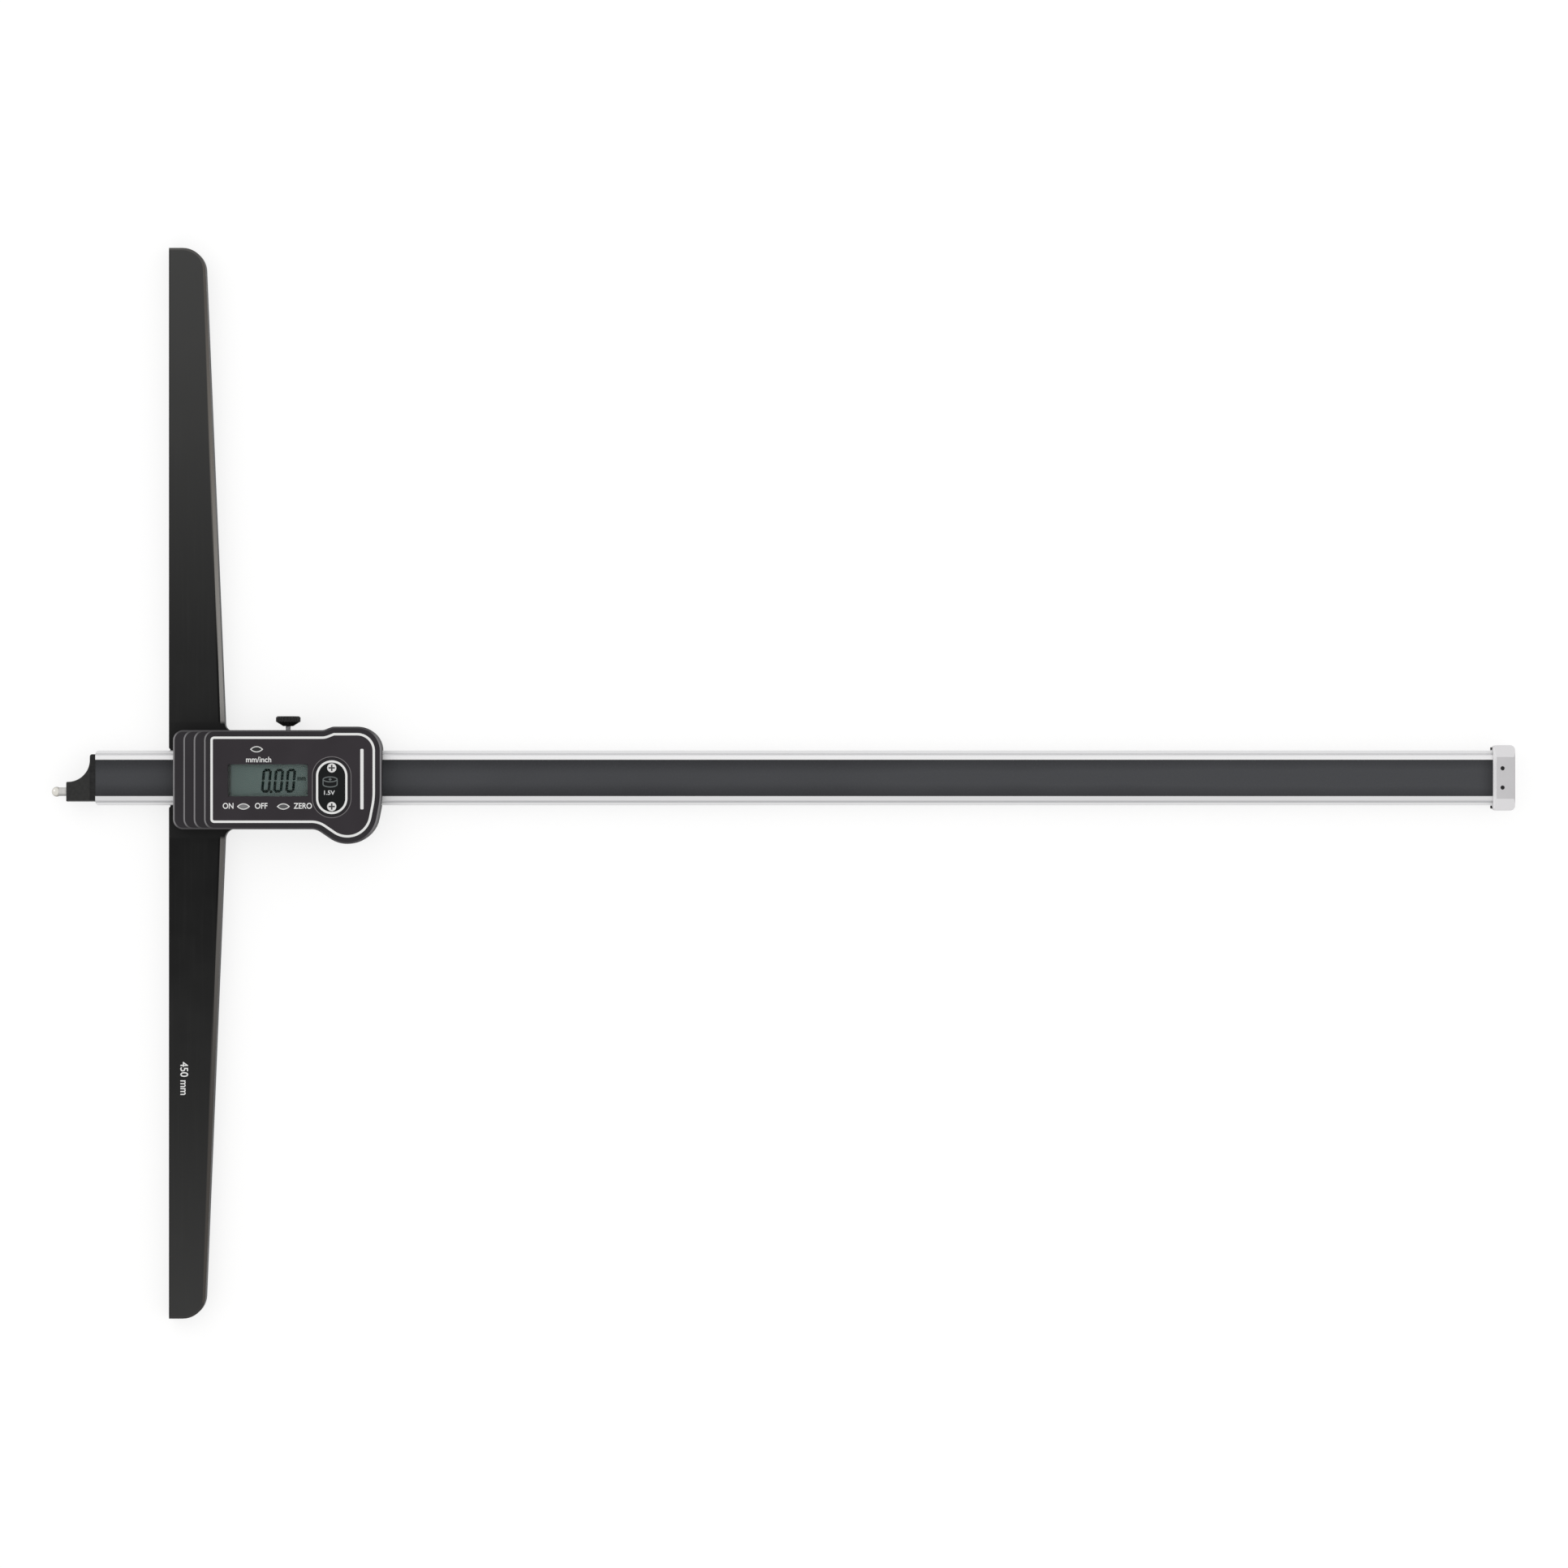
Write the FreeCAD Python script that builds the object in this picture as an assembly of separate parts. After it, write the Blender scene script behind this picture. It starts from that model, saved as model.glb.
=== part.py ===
import FreeCAD, Part
import math
import os

# Digital depth gauge with a wide bridge base, lying on its back with the display up.
# Origin: on the datum face, on the beam's centre line, at the level the gauge lies on.
# +X runs from the datum face to the end cap, +Y to the clamp screw, +Z out of the display.
# All lengths are millimetres.

os.makedirs("parts", exist_ok=True)

# Beam: an aluminium extrusion that carries the measuring scale
beam_length = 528.0
beam_front_reach = 27.4
beam_width = 20.4
beam_thickness = 8.0
beam_step_width = 1.4
beam_step_drop = 0.9
beam_edge_chamfer = 0.35
beam_corner_radius = 1.2
beam_groove_width = 2.6
beam_groove_depth = 1.2
beam_groove_place_share = 0.62
scale_width = 13.6
scale_thickness = 0.5
film_thickness = 0.2
scale_sink = 0.1

# Bridge base with its stem, one piece of steel
base_length = 400.0
base_shift = 2.0
base_thickness = 10.0
base_mid_depth = 21.6
base_end_depth = 13.3
base_corner_radius = 8.5
base_end_chamfer = 0.9
base_back_bevel = 1.9
base_back_bevel_end = 0.4
base_datum_chamfer = 0.4
clamp_flare_radius = 2.7
thumb_flare_radius = 4.0
stem_inset = 0.2
notch_clearance = 0.5
notch_corner_radius = 0.8

# Guide: side walls, rails, gib and clamp
slide_gap = 0.05
clamp_side_wall = 7.55
gib_side_wall = 7.35
gib_thickness = 1.5
gib_end_margin = 1.2
gib_edge_gap = 0.3
gib_screw_radius = 1.25
gib_screw_sink = 0.9
gib_screw_hex = 0.65
gib_screw_place_shares = (0.17, 0.49)
rail_thickness = 0.8
rail_land_share = 0.35
rail_side_gap = 0.15
rail_end_gap = 1.0
rail_screw_radius = 0.8
rail_screw_head = 1.2
rail_screw_depth = 3.6
rail_screw_margin = 4.5
rail_screw_place_shares = (0.0, 0.55, 1.0)
clamp_place_share = 0.463
clamp_shoe_radius = 1.8
clamp_shoe_length = 2.0
clamp_shoe_gap = 0.12
clamp_back_room = 1.1
clamp_stud_radius = 1.0
clamp_stud_hold_share = 0.75
clamp_pin_radius = 0.6
clamp_pin_length = 1.2
clamp_knob_radius = 4.6
clamp_knob_cone = 1.7
clamp_knob_rim = 1.5
clamp_knob_dome = 0.5
clamp_knob_neck_radius = 1.9
clamp_knob_standoff = 1.55
clamp_knurl_count = 24
clamp_knurl_radius = 0.35
running_gap = 0.05

# Contact end
nose_length = 10.9
nose_flange_length = 2.1
nose_side_inset = 1.35
nose_tip_width = 7.4
nose_arc_radius = 8.2
nose_edge_chamfer = 0.4
nose_corner_radius = 0.9
nose_tip_radius = 0.45
tongue_length = 8.0
tongue_width = 10.0
tongue_thickness = 3.0
nose_screw_radius = 0.8
nose_screw_head = 1.5
nose_screw_spacing = 5.0
contact_protrusion = 5.7
contact_ball_radius = 1.85
contact_seat_share = 0.35
contact_shank_radius = 1.6
contact_stud_radius = 0.9
contact_stud_length = 5.0

# End cap
cap_length = 8.1
cap_pocket_depth = 6.3
cap_side_wall = 2.0
cap_bevel_width = 4.4
cap_bevel_drop = 0.8
cap_corner_radius = 1.8
cap_front_chamfer = 1.15
cap_back_chamfer = 0.35
cap_screw_radius = 0.8
cap_screw_spacing = 7.2
cap_screw_sink = 0.7
cap_screw_hold = 4.5
cap_screw_place_share = 0.42
cap_screw_hex = 0.45
bumper_radius = 0.5
bumper_length = 3.5
bumper_proud = 0.6
bumper_place_share = 0.36

# Slider housing
plate_front = 2.1
plate_pitch = 3.9
plate_count = 4
plate_step = 0.7
plate_corner_radius = 3.8
plate_edge_chamfer = 0.6
housing_wall = 1.8
housing_roof = 1.6
shoulder_rise = 1.3
shoulder_ramp = 3.3
shoulder_ramp_radius = 3.6
shoulder_place_share = 0.04
housing_corner_radius = 9.0
lobe_radius = 11.5
lobe_flank_run = 24.2
lobe_flank_radius = 6.0
lobe_tip_inset = 4.75
lobe_tip_drop = 13.3
lobe_shoulder_rise = 11.05
lobe_shoulder_radius = 30.0
back_margin = 11.45
boss_radius = 1.8

# Front panel and display
panel_inset = 2.4
panel_thickness = 0.4
display_margin = 7.55
display_width = 29.7
display_height = 11.9
display_drop = 0.9
window_flange_thickness = 0.8
glass_overlap = 0.8
glass_thickness = 1.8
display_frame_wall = 0.5
display_frame_gap = 0.05
display_frame_ledge = 1.2
connector_width = 1.5

# Circuit board
board_gap = 0.2
board_thickness = 0.8
board_edge_gap = 0.35
board_screw_radius = 0.7
board_screw_head = 1.1
board_screw_head_height = 0.6
board_screw_depth = 3.5
board_screw_margin = 2.7
chip_size = 8.0
chip_height = 1.0
chip_corner_radius = 0.4
switch_width = 3.4
switch_depth = 2.6
switch_height = 1.5
switch_plunger_radius = 0.7
switch_plunger_height = 0.4

# Push buttons
button_width = 3.6
button_height = 1.4
button_gap = 0.08
button_proud = 0.3
button_flange = 0.55
button_flange_thickness = 0.8
button_stem_radius = 0.9
button_travel = 0.4
upper_button_row_gap = 4.25
lower_button_row_gap = 2.45
mode_button_share = 0.36
power_button_share = 0.195
zero_button_share = 0.695

# Battery compartment
cell_radius = 5.8
cell_height = 5.4
cell_rim = 0.7
cell_headroom = 0.35
cell_side_gap = 0.4
contact_strip_thickness = 0.3
contact_strip_width = 3.0
contact_strip_length = 8.0
contact_strip_degrees = 44.0
battery_gap = 0.55
battery_drop = 2.57
battery_cover_width = 11.7
battery_cover_length = 20.0
battery_cover_thickness = 1.5
battery_cover_gap = 0.05
battery_cover_sink = 0.2
battery_recess_margin = 1.2
battery_recess_depth = 0.5
cover_screw_radius = 0.8
cover_screw_head = 1.9
cover_screw_head_height = 0.7
cover_screw_head_round = 0.45
cover_screw_depth = 4.0
cover_screw_well_gap = 0.19
cross_arm_share = 0.62
cross_half_share = 0.15

# Housing screws, put in from the back
housing_screw_radius = 1.0
housing_screw_head = 1.9
housing_screw_head_height = 1.3
housing_screw_sink = 0.3
housing_screw_margin = 0.6
housing_screw_length = 14.0
housing_screw_clearance = 0.1

overrun = 5.0
touching = 0.001
hexagon_sides = 6

# Levels worked out from the sizes
beam_half = beam_width / 2
beam_bottom = base_thickness - slide_gap + beam_step_drop - beam_thickness
beam_top = beam_bottom + beam_thickness
beam_mid = beam_bottom + beam_thickness / 2
floor_top = beam_bottom - slide_gap
rail_top = base_thickness + rail_thickness
board_bottom = beam_top + board_gap
board_top = board_bottom + board_thickness
switch_top = board_top + switch_height + switch_plunger_height
cell_bottom = board_top + contact_strip_thickness
cell_top = cell_bottom + cell_height
battery_cover_bottom = cell_top + cell_headroom
battery_cover_top = battery_cover_bottom + battery_cover_thickness
housing_top = battery_cover_top + battery_cover_sink
roof_bottom = housing_top - housing_roof
panel_bottom = housing_top - panel_thickness
glass_top = roof_bottom - window_flange_thickness
glass_bottom = glass_top - glass_thickness
cap_top = beam_top + beam_bottom

# Places across the beam
step_half = beam_half - beam_step_width
notch_half = beam_half + notch_clearance
clamp_wall_y = beam_half + slide_gap
gib_face_y = -beam_half - slide_gap
gib_wall_y = gib_face_y - gib_thickness - slide_gap
rail_land = gib_side_wall * rail_land_share
slider_plus_y = clamp_wall_y + clamp_side_wall
slider_minus_y = gib_wall_y - gib_side_wall
shoulder_y = slider_plus_y + shoulder_rise
cap_half = beam_half + cap_side_wall
nose_half = beam_half - nose_side_inset
nose_tip_y = nose_tip_width - nose_half
contact_y = nose_tip_width / 2 - nose_half
glass_length = display_width + glass_overlap * 2
glass_height = display_height + glass_overlap * 2
frame_length = glass_length + (display_frame_gap + display_frame_wall) * 2
frame_height = glass_height + (display_frame_gap + display_frame_wall) * 2
display_y = -display_drop
battery_y = display_y - battery_drop
upper_button_y = display_y + frame_height / 2 + upper_button_row_gap
lower_button_y = display_y - frame_height / 2 - lower_button_row_gap
well_radius = cell_radius + cell_side_gap
well_outer = battery_cover_width / 2 + battery_recess_margin
cover_screw_reach = well_radius + cover_screw_well_gap + cover_screw_radius

# Places along the beam
beam_front = -beam_front_reach
beam_back = beam_length - beam_front_reach
nose_front = beam_front - nose_length
nose_flange_front = beam_front - nose_flange_length
contact_tip = nose_front - contact_protrusion
cap_front = beam_back - cap_pocket_depth
cap_back = cap_front + cap_length
cap_screw_x = cap_front + cap_length * cap_screw_place_share
face_front = plate_front + plate_pitch * (plate_count - 1)
cavity_front = face_front + housing_wall
display_x = face_front + display_margin + frame_length / 2
battery_x = display_x + frame_length / 2 + battery_gap + well_outer
slider_back = battery_x + well_outer + back_margin
clamp_x = face_front + (slider_back - face_front) * clamp_place_share
gib_front = base_mid_depth + gib_end_margin
gib_back = slider_back - gib_end_margin * 2
rail_front = base_mid_depth + rail_end_gap
rail_back = slider_back - housing_wall * 2

display_left = display_x - display_width / 2
button_places = {
    "button_mm_inch": (display_left + display_width * mode_button_share, upper_button_y),
    "button_on_off": (display_left + display_width * power_button_share, lower_button_y),
    "button_zero": (display_left + display_width * zero_button_share, lower_button_y),
}


def vector(x, y, z=0.0):
    return FreeCAD.Vector(x, y, z)


def block(x0, x1, y0, y1, z0, z1):
    return Part.makeBox(x1 - x0, y1 - y0, z1 - z0, vector(x0, y0, z0))


def post(x, y, radius, z0, z1):
    return Part.makeCylinder(radius, z1 - z0, vector(x, y, z0), vector(0, 0, 1))


def rod_x(y, z, radius, x0, x1):
    return Part.makeCylinder(radius, x1 - x0, vector(x0, y, z), vector(1, 0, 0))


def rod_y(x, z, radius, y0, y1):
    return Part.makeCylinder(radius, y1 - y0, vector(x, y0, z), vector(0, 1, 0))


def cut(solid, tools):
    return solid.cut(tools).removeSplitter()


def fuse(solid, pieces):
    return solid.fuse(pieces).removeSplitter()


def corner_arc(before, corner, after, radius):
    """Start, middle and end of the arc that rounds one corner of an outline."""
    to_before = before - corner
    to_after = after - corner
    to_before.normalize()
    to_after.normalize()
    half_angle = to_before.getAngle(to_after) / 2
    reach = radius / math.tan(half_angle)
    bisector = to_before + to_after
    bisector.normalize()
    middle = corner + bisector * (radius / math.sin(half_angle) - radius)
    return corner + to_before * reach, middle, corner + to_after * reach


def rounded_outline(corners):
    """A flat face inside corners given as x, y and radius."""
    points = [vector(x, y) for x, y, radius in corners]
    pieces = []
    for index, (x, y, radius) in enumerate(corners):
        following = points[(index + 1) % len(points)]
        if radius > 0:
            pieces.append(corner_arc(points[index - 1], points[index], following, radius))
        else:
            pieces.append((points[index], None, points[index]))
    edges = []
    for index, (start, middle, end) in enumerate(pieces):
        last_end = pieces[index - 1][2]
        if last_end.distanceToPoint(start) > touching:
            edges.append(Part.LineSegment(last_end, start).toShape())
        if middle:
            edges.append(Part.Arc(start, middle, end).toShape())
    return Part.Face(Part.Wire(edges))


def prism(face, z0, z1):
    base = face.copy()
    base.translate(vector(0, 0, z0))
    return base.extrude(vector(0, 0, z1 - z0))


def inset(face, distance):
    return face.makeOffset2D(-distance)


def capsule(x, y, width, length):
    """A flat face with round ends, its long side along Y."""
    half = width / 2
    straight = length / 2 - half
    left_top = vector(x - half, y + straight)
    right_top = vector(x + half, y + straight)
    left_low = vector(x - half, y - straight)
    right_low = vector(x + half, y - straight)
    edges = [
        Part.Arc(left_top, vector(x, y + length / 2), right_top).toShape(),
        Part.LineSegment(right_top, right_low).toShape(),
        Part.Arc(right_low, vector(x, y - length / 2), left_low).toShape(),
        Part.LineSegment(left_low, left_top).toShape(),
    ]
    return Part.Face(Part.Wire(edges))


def lens(x, y, width, height):
    """A flat face between two arcs that meet in points at the left and right."""
    left = vector(x - width / 2, y)
    right = vector(x + width / 2, y)
    upper = Part.Arc(left, vector(x, y + height / 2), right).toShape()
    lower = Part.Arc(right, vector(x, y - height / 2), left).toShape()
    return Part.Face(Part.Wire([upper, lower]))


def extruded_x(section, x0, x1):
    """A bar along X from its closed outline of y and z points."""
    points = [vector(x0, y, z) for y, z in section]
    face = Part.Face(Part.makePolygon(points + points[:1]))
    return face.extrude(vector(x1 - x0, 0, 0))


def edges_at(solid, test):
    """The edges whose middle point passes the test."""
    chosen = []
    for edge in solid.Edges:
        middle = edge.valueAt((edge.FirstParameter + edge.LastParameter) / 2)
        if test(middle):
            chosen.append(edge)
    return chosen


def upright_edges(solid, corners):
    """The edges whose middles stand over the given corners of the plan."""
    return edges_at(solid, lambda m: any(math.hypot(m.x - x, m.y - y) < touching for x, y in corners))


def chamfer_top_edges(solid, size, level):
    """Chamfers the outer edges of the flat face at the given level."""
    return solid.makeChamfer(size, edges_at(solid, lambda middle: abs(middle.z - level) < touching))


def countersunk(x, y, radius, head, z_face, z_tip):
    """A screw body with a cone head flush with z_face."""
    direction = 1 if z_tip > z_face else -1
    rise = (head - radius) * direction
    cone = Part.makeCone(head, radius, abs(rise), vector(x, y, z_face), vector(0, 0, direction))
    shank = post(x, y, radius, min(z_face + rise, z_tip), max(z_face + rise, z_tip))
    return fuse(cone, [shank])


def cross_recess(x, y, head, z0, z1):
    """The cross slot of a screw head between two levels."""
    arm = head * cross_arm_share
    half = head * cross_half_share
    first = block(x - arm, x + arm, y - half, y + half, z0, z1)
    second = block(x - half, x + half, y - arm, y + arm, z0, z1)
    return fuse(first, [second])


def hexagon_corners(radius):
    """Corner points of a key socket about its own middle."""
    turns = [math.tau * side / hexagon_sides for side in range(hexagon_sides)]
    return [(radius * math.cos(turn), radius * math.sin(turn)) for turn in turns]


def hexagon_z(x, y, radius, z0, z1):
    """A six-sided key socket between two levels."""
    points = [vector(x + across, y + along, z0) for across, along in hexagon_corners(radius)]
    return Part.Face(Part.makePolygon(points + points[:1])).extrude(vector(0, 0, z1 - z0))


def slider_outline(front):
    """Plan view of the slider from a front edge back to the round thumb lobe."""
    ramp_end = battery_x + well_outer * shoulder_place_share
    return rounded_outline([
        (front, slider_minus_y, plate_corner_radius),
        (slider_back - lobe_flank_run, slider_minus_y, lobe_flank_radius),
        (slider_back - lobe_tip_inset, slider_minus_y - lobe_tip_drop, lobe_radius),
        (slider_back, slider_minus_y + lobe_shoulder_rise, lobe_shoulder_radius),
        (slider_back, shoulder_y, housing_corner_radius),
        (ramp_end, shoulder_y, shoulder_ramp_radius),
        (ramp_end - shoulder_ramp, slider_plus_y, shoulder_ramp_radius),
        (front, slider_plus_y, plate_corner_radius),
    ])


def housing_screw_places():
    edge = stem_inset + housing_screw_head + housing_screw_margin
    front_x = base_mid_depth + housing_screw_head * 2
    return [
        (front_x, slider_plus_y - edge),
        (front_x, slider_minus_y + edge),
        (battery_x + lobe_tip_inset, slider_plus_y - edge + shoulder_rise / 2),
        (slider_back - lobe_tip_inset * 2, slider_minus_y),
    ]


def board_screw_places():
    front_x = cavity_front + board_screw_margin
    edge = housing_wall + board_screw_margin
    return [
        (front_x, slider_plus_y - edge),
        (front_x, slider_minus_y + edge),
        (battery_x - well_outer - boss_radius, slider_plus_y - housing_wall - board_screw_head),
        (battery_x, slider_minus_y + board_screw_head),
    ]


def rail_screw_places():
    first = rail_front + rail_screw_margin
    last = rail_back - rail_screw_margin
    places = []
    for share in rail_screw_place_shares:
        x = first + (last - first) * share
        places.append((x, clamp_wall_y + rail_land / 2))
        places.append((x, gib_wall_y - rail_land / 2))
    return places


def gib_screw_xs():
    return [gib_front + (gib_back - gib_front) * share for share in gib_screw_place_shares]


def back_edge_x(y, end_y):
    """Where the bridge's tapered back edge lies at a place across the gauge."""
    return base_mid_depth + (base_end_depth - base_mid_depth) * y / end_y


def bridge_arms():
    """The tapered bridge with chamfered ends and a back bevel that widens to the middle."""
    ends = [base_length / 2 - base_shift, -base_length / 2 - base_shift]
    plan = rounded_outline([
        (0, ends[1], 0),
        (base_end_depth, ends[1], base_corner_radius),
        (base_mid_depth, 0, 0),
        (base_end_depth, ends[0], base_corner_radius),
        (0, ends[0], 0),
    ])
    solid = prism(plan, 0, base_thickness)
    outer = edges_at(solid, lambda m: abs(m.z - base_thickness) < touching and m.x > touching)
    solid = solid.makeChamfer(base_end_chamfer, outer)
    datum = edges_at(solid, lambda m: abs(m.x) < touching and abs(m.y) < base_end_depth)
    solid = solid.makeChamfer(base_datum_chamfer, datum)
    wedges = []
    mid_x = base_mid_depth - base_back_bevel
    end_x = base_end_depth - base_back_bevel_end
    points = [
        vector(mid_x - overrun, 0, base_thickness + overrun),
        vector(mid_x + overrun, 0, base_thickness + overrun),
        vector(mid_x + overrun, 0, base_thickness - overrun),
    ]
    for end_y in ends:
        face = Part.Face(Part.makePolygon(points + points[:1]))
        wedges.append(face.extrude(vector(end_x - mid_x, end_y, 0)))
    return cut(solid, wedges), ends


def stem_flares(ends):
    """Concave corner pieces where the bridge's back edge turns into the stem."""
    pieces = []
    sides = [
        (ends[0], slider_plus_y - stem_inset, clamp_flare_radius),
        (ends[1], slider_minus_y + stem_inset, thumb_flare_radius),
    ]
    for end_y, side_y, radius in sides:
        corner = vector(back_edge_x(side_y, end_y), side_y)
        along_back = vector(base_end_depth, end_y)
        along_stem = vector(slider_back, side_y)
        start, middle, end = corner_arc(along_back, corner, along_stem, radius)
        edges = [
            Part.LineSegment(corner, start).toShape(),
            Part.Arc(start, middle, end).toShape(),
            Part.LineSegment(end, corner).toShape(),
        ]
        pieces.append(prism(Part.Face(Part.Wire(edges)), 0, base_thickness - base_back_bevel))
    return pieces


def notch_mouth():
    """The cutter for the beam's way through the datum face, with rounded mouth corners."""
    return prism(rounded_outline([
        (-overrun, -notch_half - overrun, 0),
        (0, -notch_half - overrun, 0),
        (0, -notch_half, notch_corner_radius),
        (base_mid_depth, -notch_half, 0),
        (base_mid_depth, notch_half, 0),
        (0, notch_half, notch_corner_radius),
        (0, notch_half + overrun, 0),
        (-overrun, notch_half + overrun, 0),
    ]), floor_top, base_thickness + overrun)


def build_base_bridge():
    arms, ends = bridge_arms()
    stem_front = base_mid_depth - base_back_bevel * 2
    stem = prism(inset(slider_outline(stem_front), stem_inset), 0, base_thickness)
    stem = stem.fuse(block(stem_front, base_mid_depth, slider_minus_y + stem_inset,
                           slider_plus_y - stem_inset, 0, base_thickness))
    solid = fuse(arms, [stem] + stem_flares(ends))
    top = base_thickness + overrun
    tools = [
        notch_mouth(),
        block(touching, slider_back + overrun, gib_face_y, clamp_wall_y, floor_top, top),
        block(gib_front, gib_back, gib_wall_y, gib_face_y + touching, floor_top, top),
    ]
    for x, y in housing_screw_places():
        tools.append(post(x, y, housing_screw_radius + housing_screw_clearance, -overrun, top))
        tools.append(post(x, y, housing_screw_head + housing_screw_clearance, -overrun,
                          housing_screw_sink + housing_screw_head_height))
    for x, y in rail_screw_places():
        tools.append(post(x, y, rail_screw_radius, rail_top - rail_screw_depth, top))
    for x in gib_screw_xs():
        tools.append(rod_y(x, beam_mid, gib_screw_radius, slider_minus_y, gib_wall_y + touching))
    shoe_room = clamp_wall_y + clamp_shoe_length + clamp_back_room
    shoe_bore = clamp_shoe_radius + running_gap
    stud_bore = clamp_stud_radius + running_gap
    tools.append(rod_y(clamp_x, beam_mid, shoe_bore, clamp_wall_y - touching, shoe_room))
    tools.append(rod_y(clamp_x, beam_mid, stud_bore, clamp_wall_y, shoulder_y + overrun))
    return cut(solid, tools)


def build_rails():
    """Two flat steel strips that hold the beam's stepped edges down in the channel."""
    plus = block(rail_front, rail_back, step_half + rail_side_gap, clamp_wall_y + rail_land,
                 base_thickness, rail_top)
    minus = block(rail_front, rail_back, gib_wall_y - rail_land, -step_half - rail_side_gap,
                  base_thickness, rail_top)
    rails = Part.makeCompound([plus, minus])
    return rails.cut([rail_screw(x, y) for x, y in rail_screw_places()])


def rail_screw(x, y):
    return countersunk(x, y, rail_screw_radius, rail_screw_head, rail_top, rail_top - rail_screw_depth)


def build_rail_screws():
    screws = []
    for x, y in rail_screw_places():
        recess = cross_recess(x, y, rail_screw_head, rail_top - rail_thickness / 2, rail_top + overrun)
        screws.append(cut(rail_screw(x, y), [recess]))
    return Part.makeCompound(screws)


def build_gib_strip():
    return block(gib_front + gib_edge_gap, gib_back - gib_edge_gap, gib_wall_y + slide_gap, gib_face_y,
                 floor_top + gib_edge_gap, base_thickness - gib_edge_gap)


def build_gib_screws():
    screws = []
    outer = slider_minus_y + stem_inset + gib_screw_sink
    for x in gib_screw_xs():
        screw = rod_y(x, beam_mid, gib_screw_radius, outer, gib_wall_y + slide_gap)
        points = [vector(x + across, outer, beam_mid + up) for across, up in hexagon_corners(gib_screw_hex)]
        socket = Part.Face(Part.makePolygon(points + points[:1])).extrude(vector(0, gib_screw_radius, 0))
        screws.append(cut(screw, [socket]))
    return Part.makeCompound(screws)


shoe_face_y = beam_half + clamp_shoe_gap
shoe_back_y = shoe_face_y + clamp_shoe_length
knob_inner_y = slider_plus_y + clamp_knob_standoff
knob_rim_y = knob_inner_y + clamp_knob_cone
knob_outer_y = knob_rim_y + clamp_knob_rim
stud_end_y = knob_inner_y + (knob_outer_y - knob_inner_y) * clamp_stud_hold_share


def build_clamp_shoe():
    shoe = rod_y(clamp_x, beam_mid, clamp_shoe_radius, shoe_face_y, shoe_back_y)
    socket = rod_y(clamp_x, beam_mid, clamp_pin_radius + running_gap,
                   shoe_back_y - clamp_pin_length - running_gap, shoe_back_y + overrun)
    return cut(shoe, [socket])


def build_clamp_stud():
    thread = rod_y(clamp_x, beam_mid, clamp_stud_radius, shoe_back_y + running_gap, stud_end_y)
    pin_end = shoe_back_y - clamp_pin_length
    pin = rod_y(clamp_x, beam_mid, clamp_pin_radius, pin_end, shoe_back_y + running_gap)
    return fuse(thread, [pin])


def build_clamp_knob():
    """A turned knob: cone under a knurled rim with a domed top."""
    profile = [
        (0, knob_inner_y),
        (clamp_knob_neck_radius, knob_inner_y),
        (clamp_knob_radius, knob_rim_y),
        (clamp_knob_radius, knob_outer_y),
        (clamp_knob_radius - clamp_knob_dome, knob_outer_y + clamp_knob_dome),
        (0, knob_outer_y + clamp_knob_dome),
    ]
    points = [vector(clamp_x + radius, y, beam_mid) for radius, y in profile]
    face = Part.Face(Part.makePolygon(points + points[:1]))
    solid = face.revolve(vector(clamp_x, 0, beam_mid), vector(0, 1, 0), math.degrees(math.tau))
    tools = [rod_y(clamp_x, beam_mid, clamp_stud_radius, knob_inner_y - overrun, stud_end_y)]
    for index in range(clamp_knurl_count):
        turn = math.tau * index / clamp_knurl_count
        tools.append(rod_y(clamp_x + clamp_knob_radius * math.cos(turn),
                           beam_mid + clamp_knob_radius * math.sin(turn),
                           clamp_knurl_radius, knob_inner_y, knob_outer_y + overrun))
    return cut(solid, tools)


def beam_section():
    """Half of the extrusion's outline from the scale recess round to the underside."""
    recess = beam_top - scale_thickness - film_thickness - scale_sink
    step = beam_top - beam_step_drop
    edge = beam_edge_chamfer
    groove_mid = beam_half * beam_groove_place_share
    groove_in = groove_mid - beam_groove_width / 2
    groove_out = groove_mid + beam_groove_width / 2
    return [
        (scale_width / 2, recess), (scale_width / 2, beam_top), (step_half - edge, beam_top),
        (step_half, beam_top - edge), (step_half, step), (beam_half - edge, step), (beam_half, step - edge),
        (beam_half, beam_bottom + edge), (beam_half - edge, beam_bottom), (groove_out, beam_bottom),
        (groove_out, beam_bottom + beam_groove_depth), (groove_in, beam_bottom + beam_groove_depth),
        (groove_in, beam_bottom),
    ]


def nose_screw_places():
    x = beam_front + tongue_length / 2
    return [(x, nose_screw_spacing / 2), (x, -nose_screw_spacing / 2)]


def nose_screw(x, y):
    return countersunk(x, y, nose_screw_radius, nose_screw_head, beam_bottom, beam_mid + tongue_thickness / 2)


def cap_screw_places():
    return [(cap_screw_x, cap_screw_spacing / 2), (cap_screw_x, -cap_screw_spacing / 2)]


def beam_corner_cutters():
    """Cutters that round the extrusion's two corners beside the nose."""
    centre_x = beam_front + beam_corner_radius
    centre_y = beam_half - beam_corner_radius
    low = beam_bottom - overrun
    top = beam_top + overrun
    cutters = []
    for side in (-1, 1):
        edges = sorted([centre_y * side, (beam_half + overrun) * side])
        corner = block(beam_front - overrun, centre_x, edges[0], edges[1], low, top)
        cutters.append(cut(corner, [post(centre_x, centre_y * side, beam_corner_radius, low, top)]))
    return cutters


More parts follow.
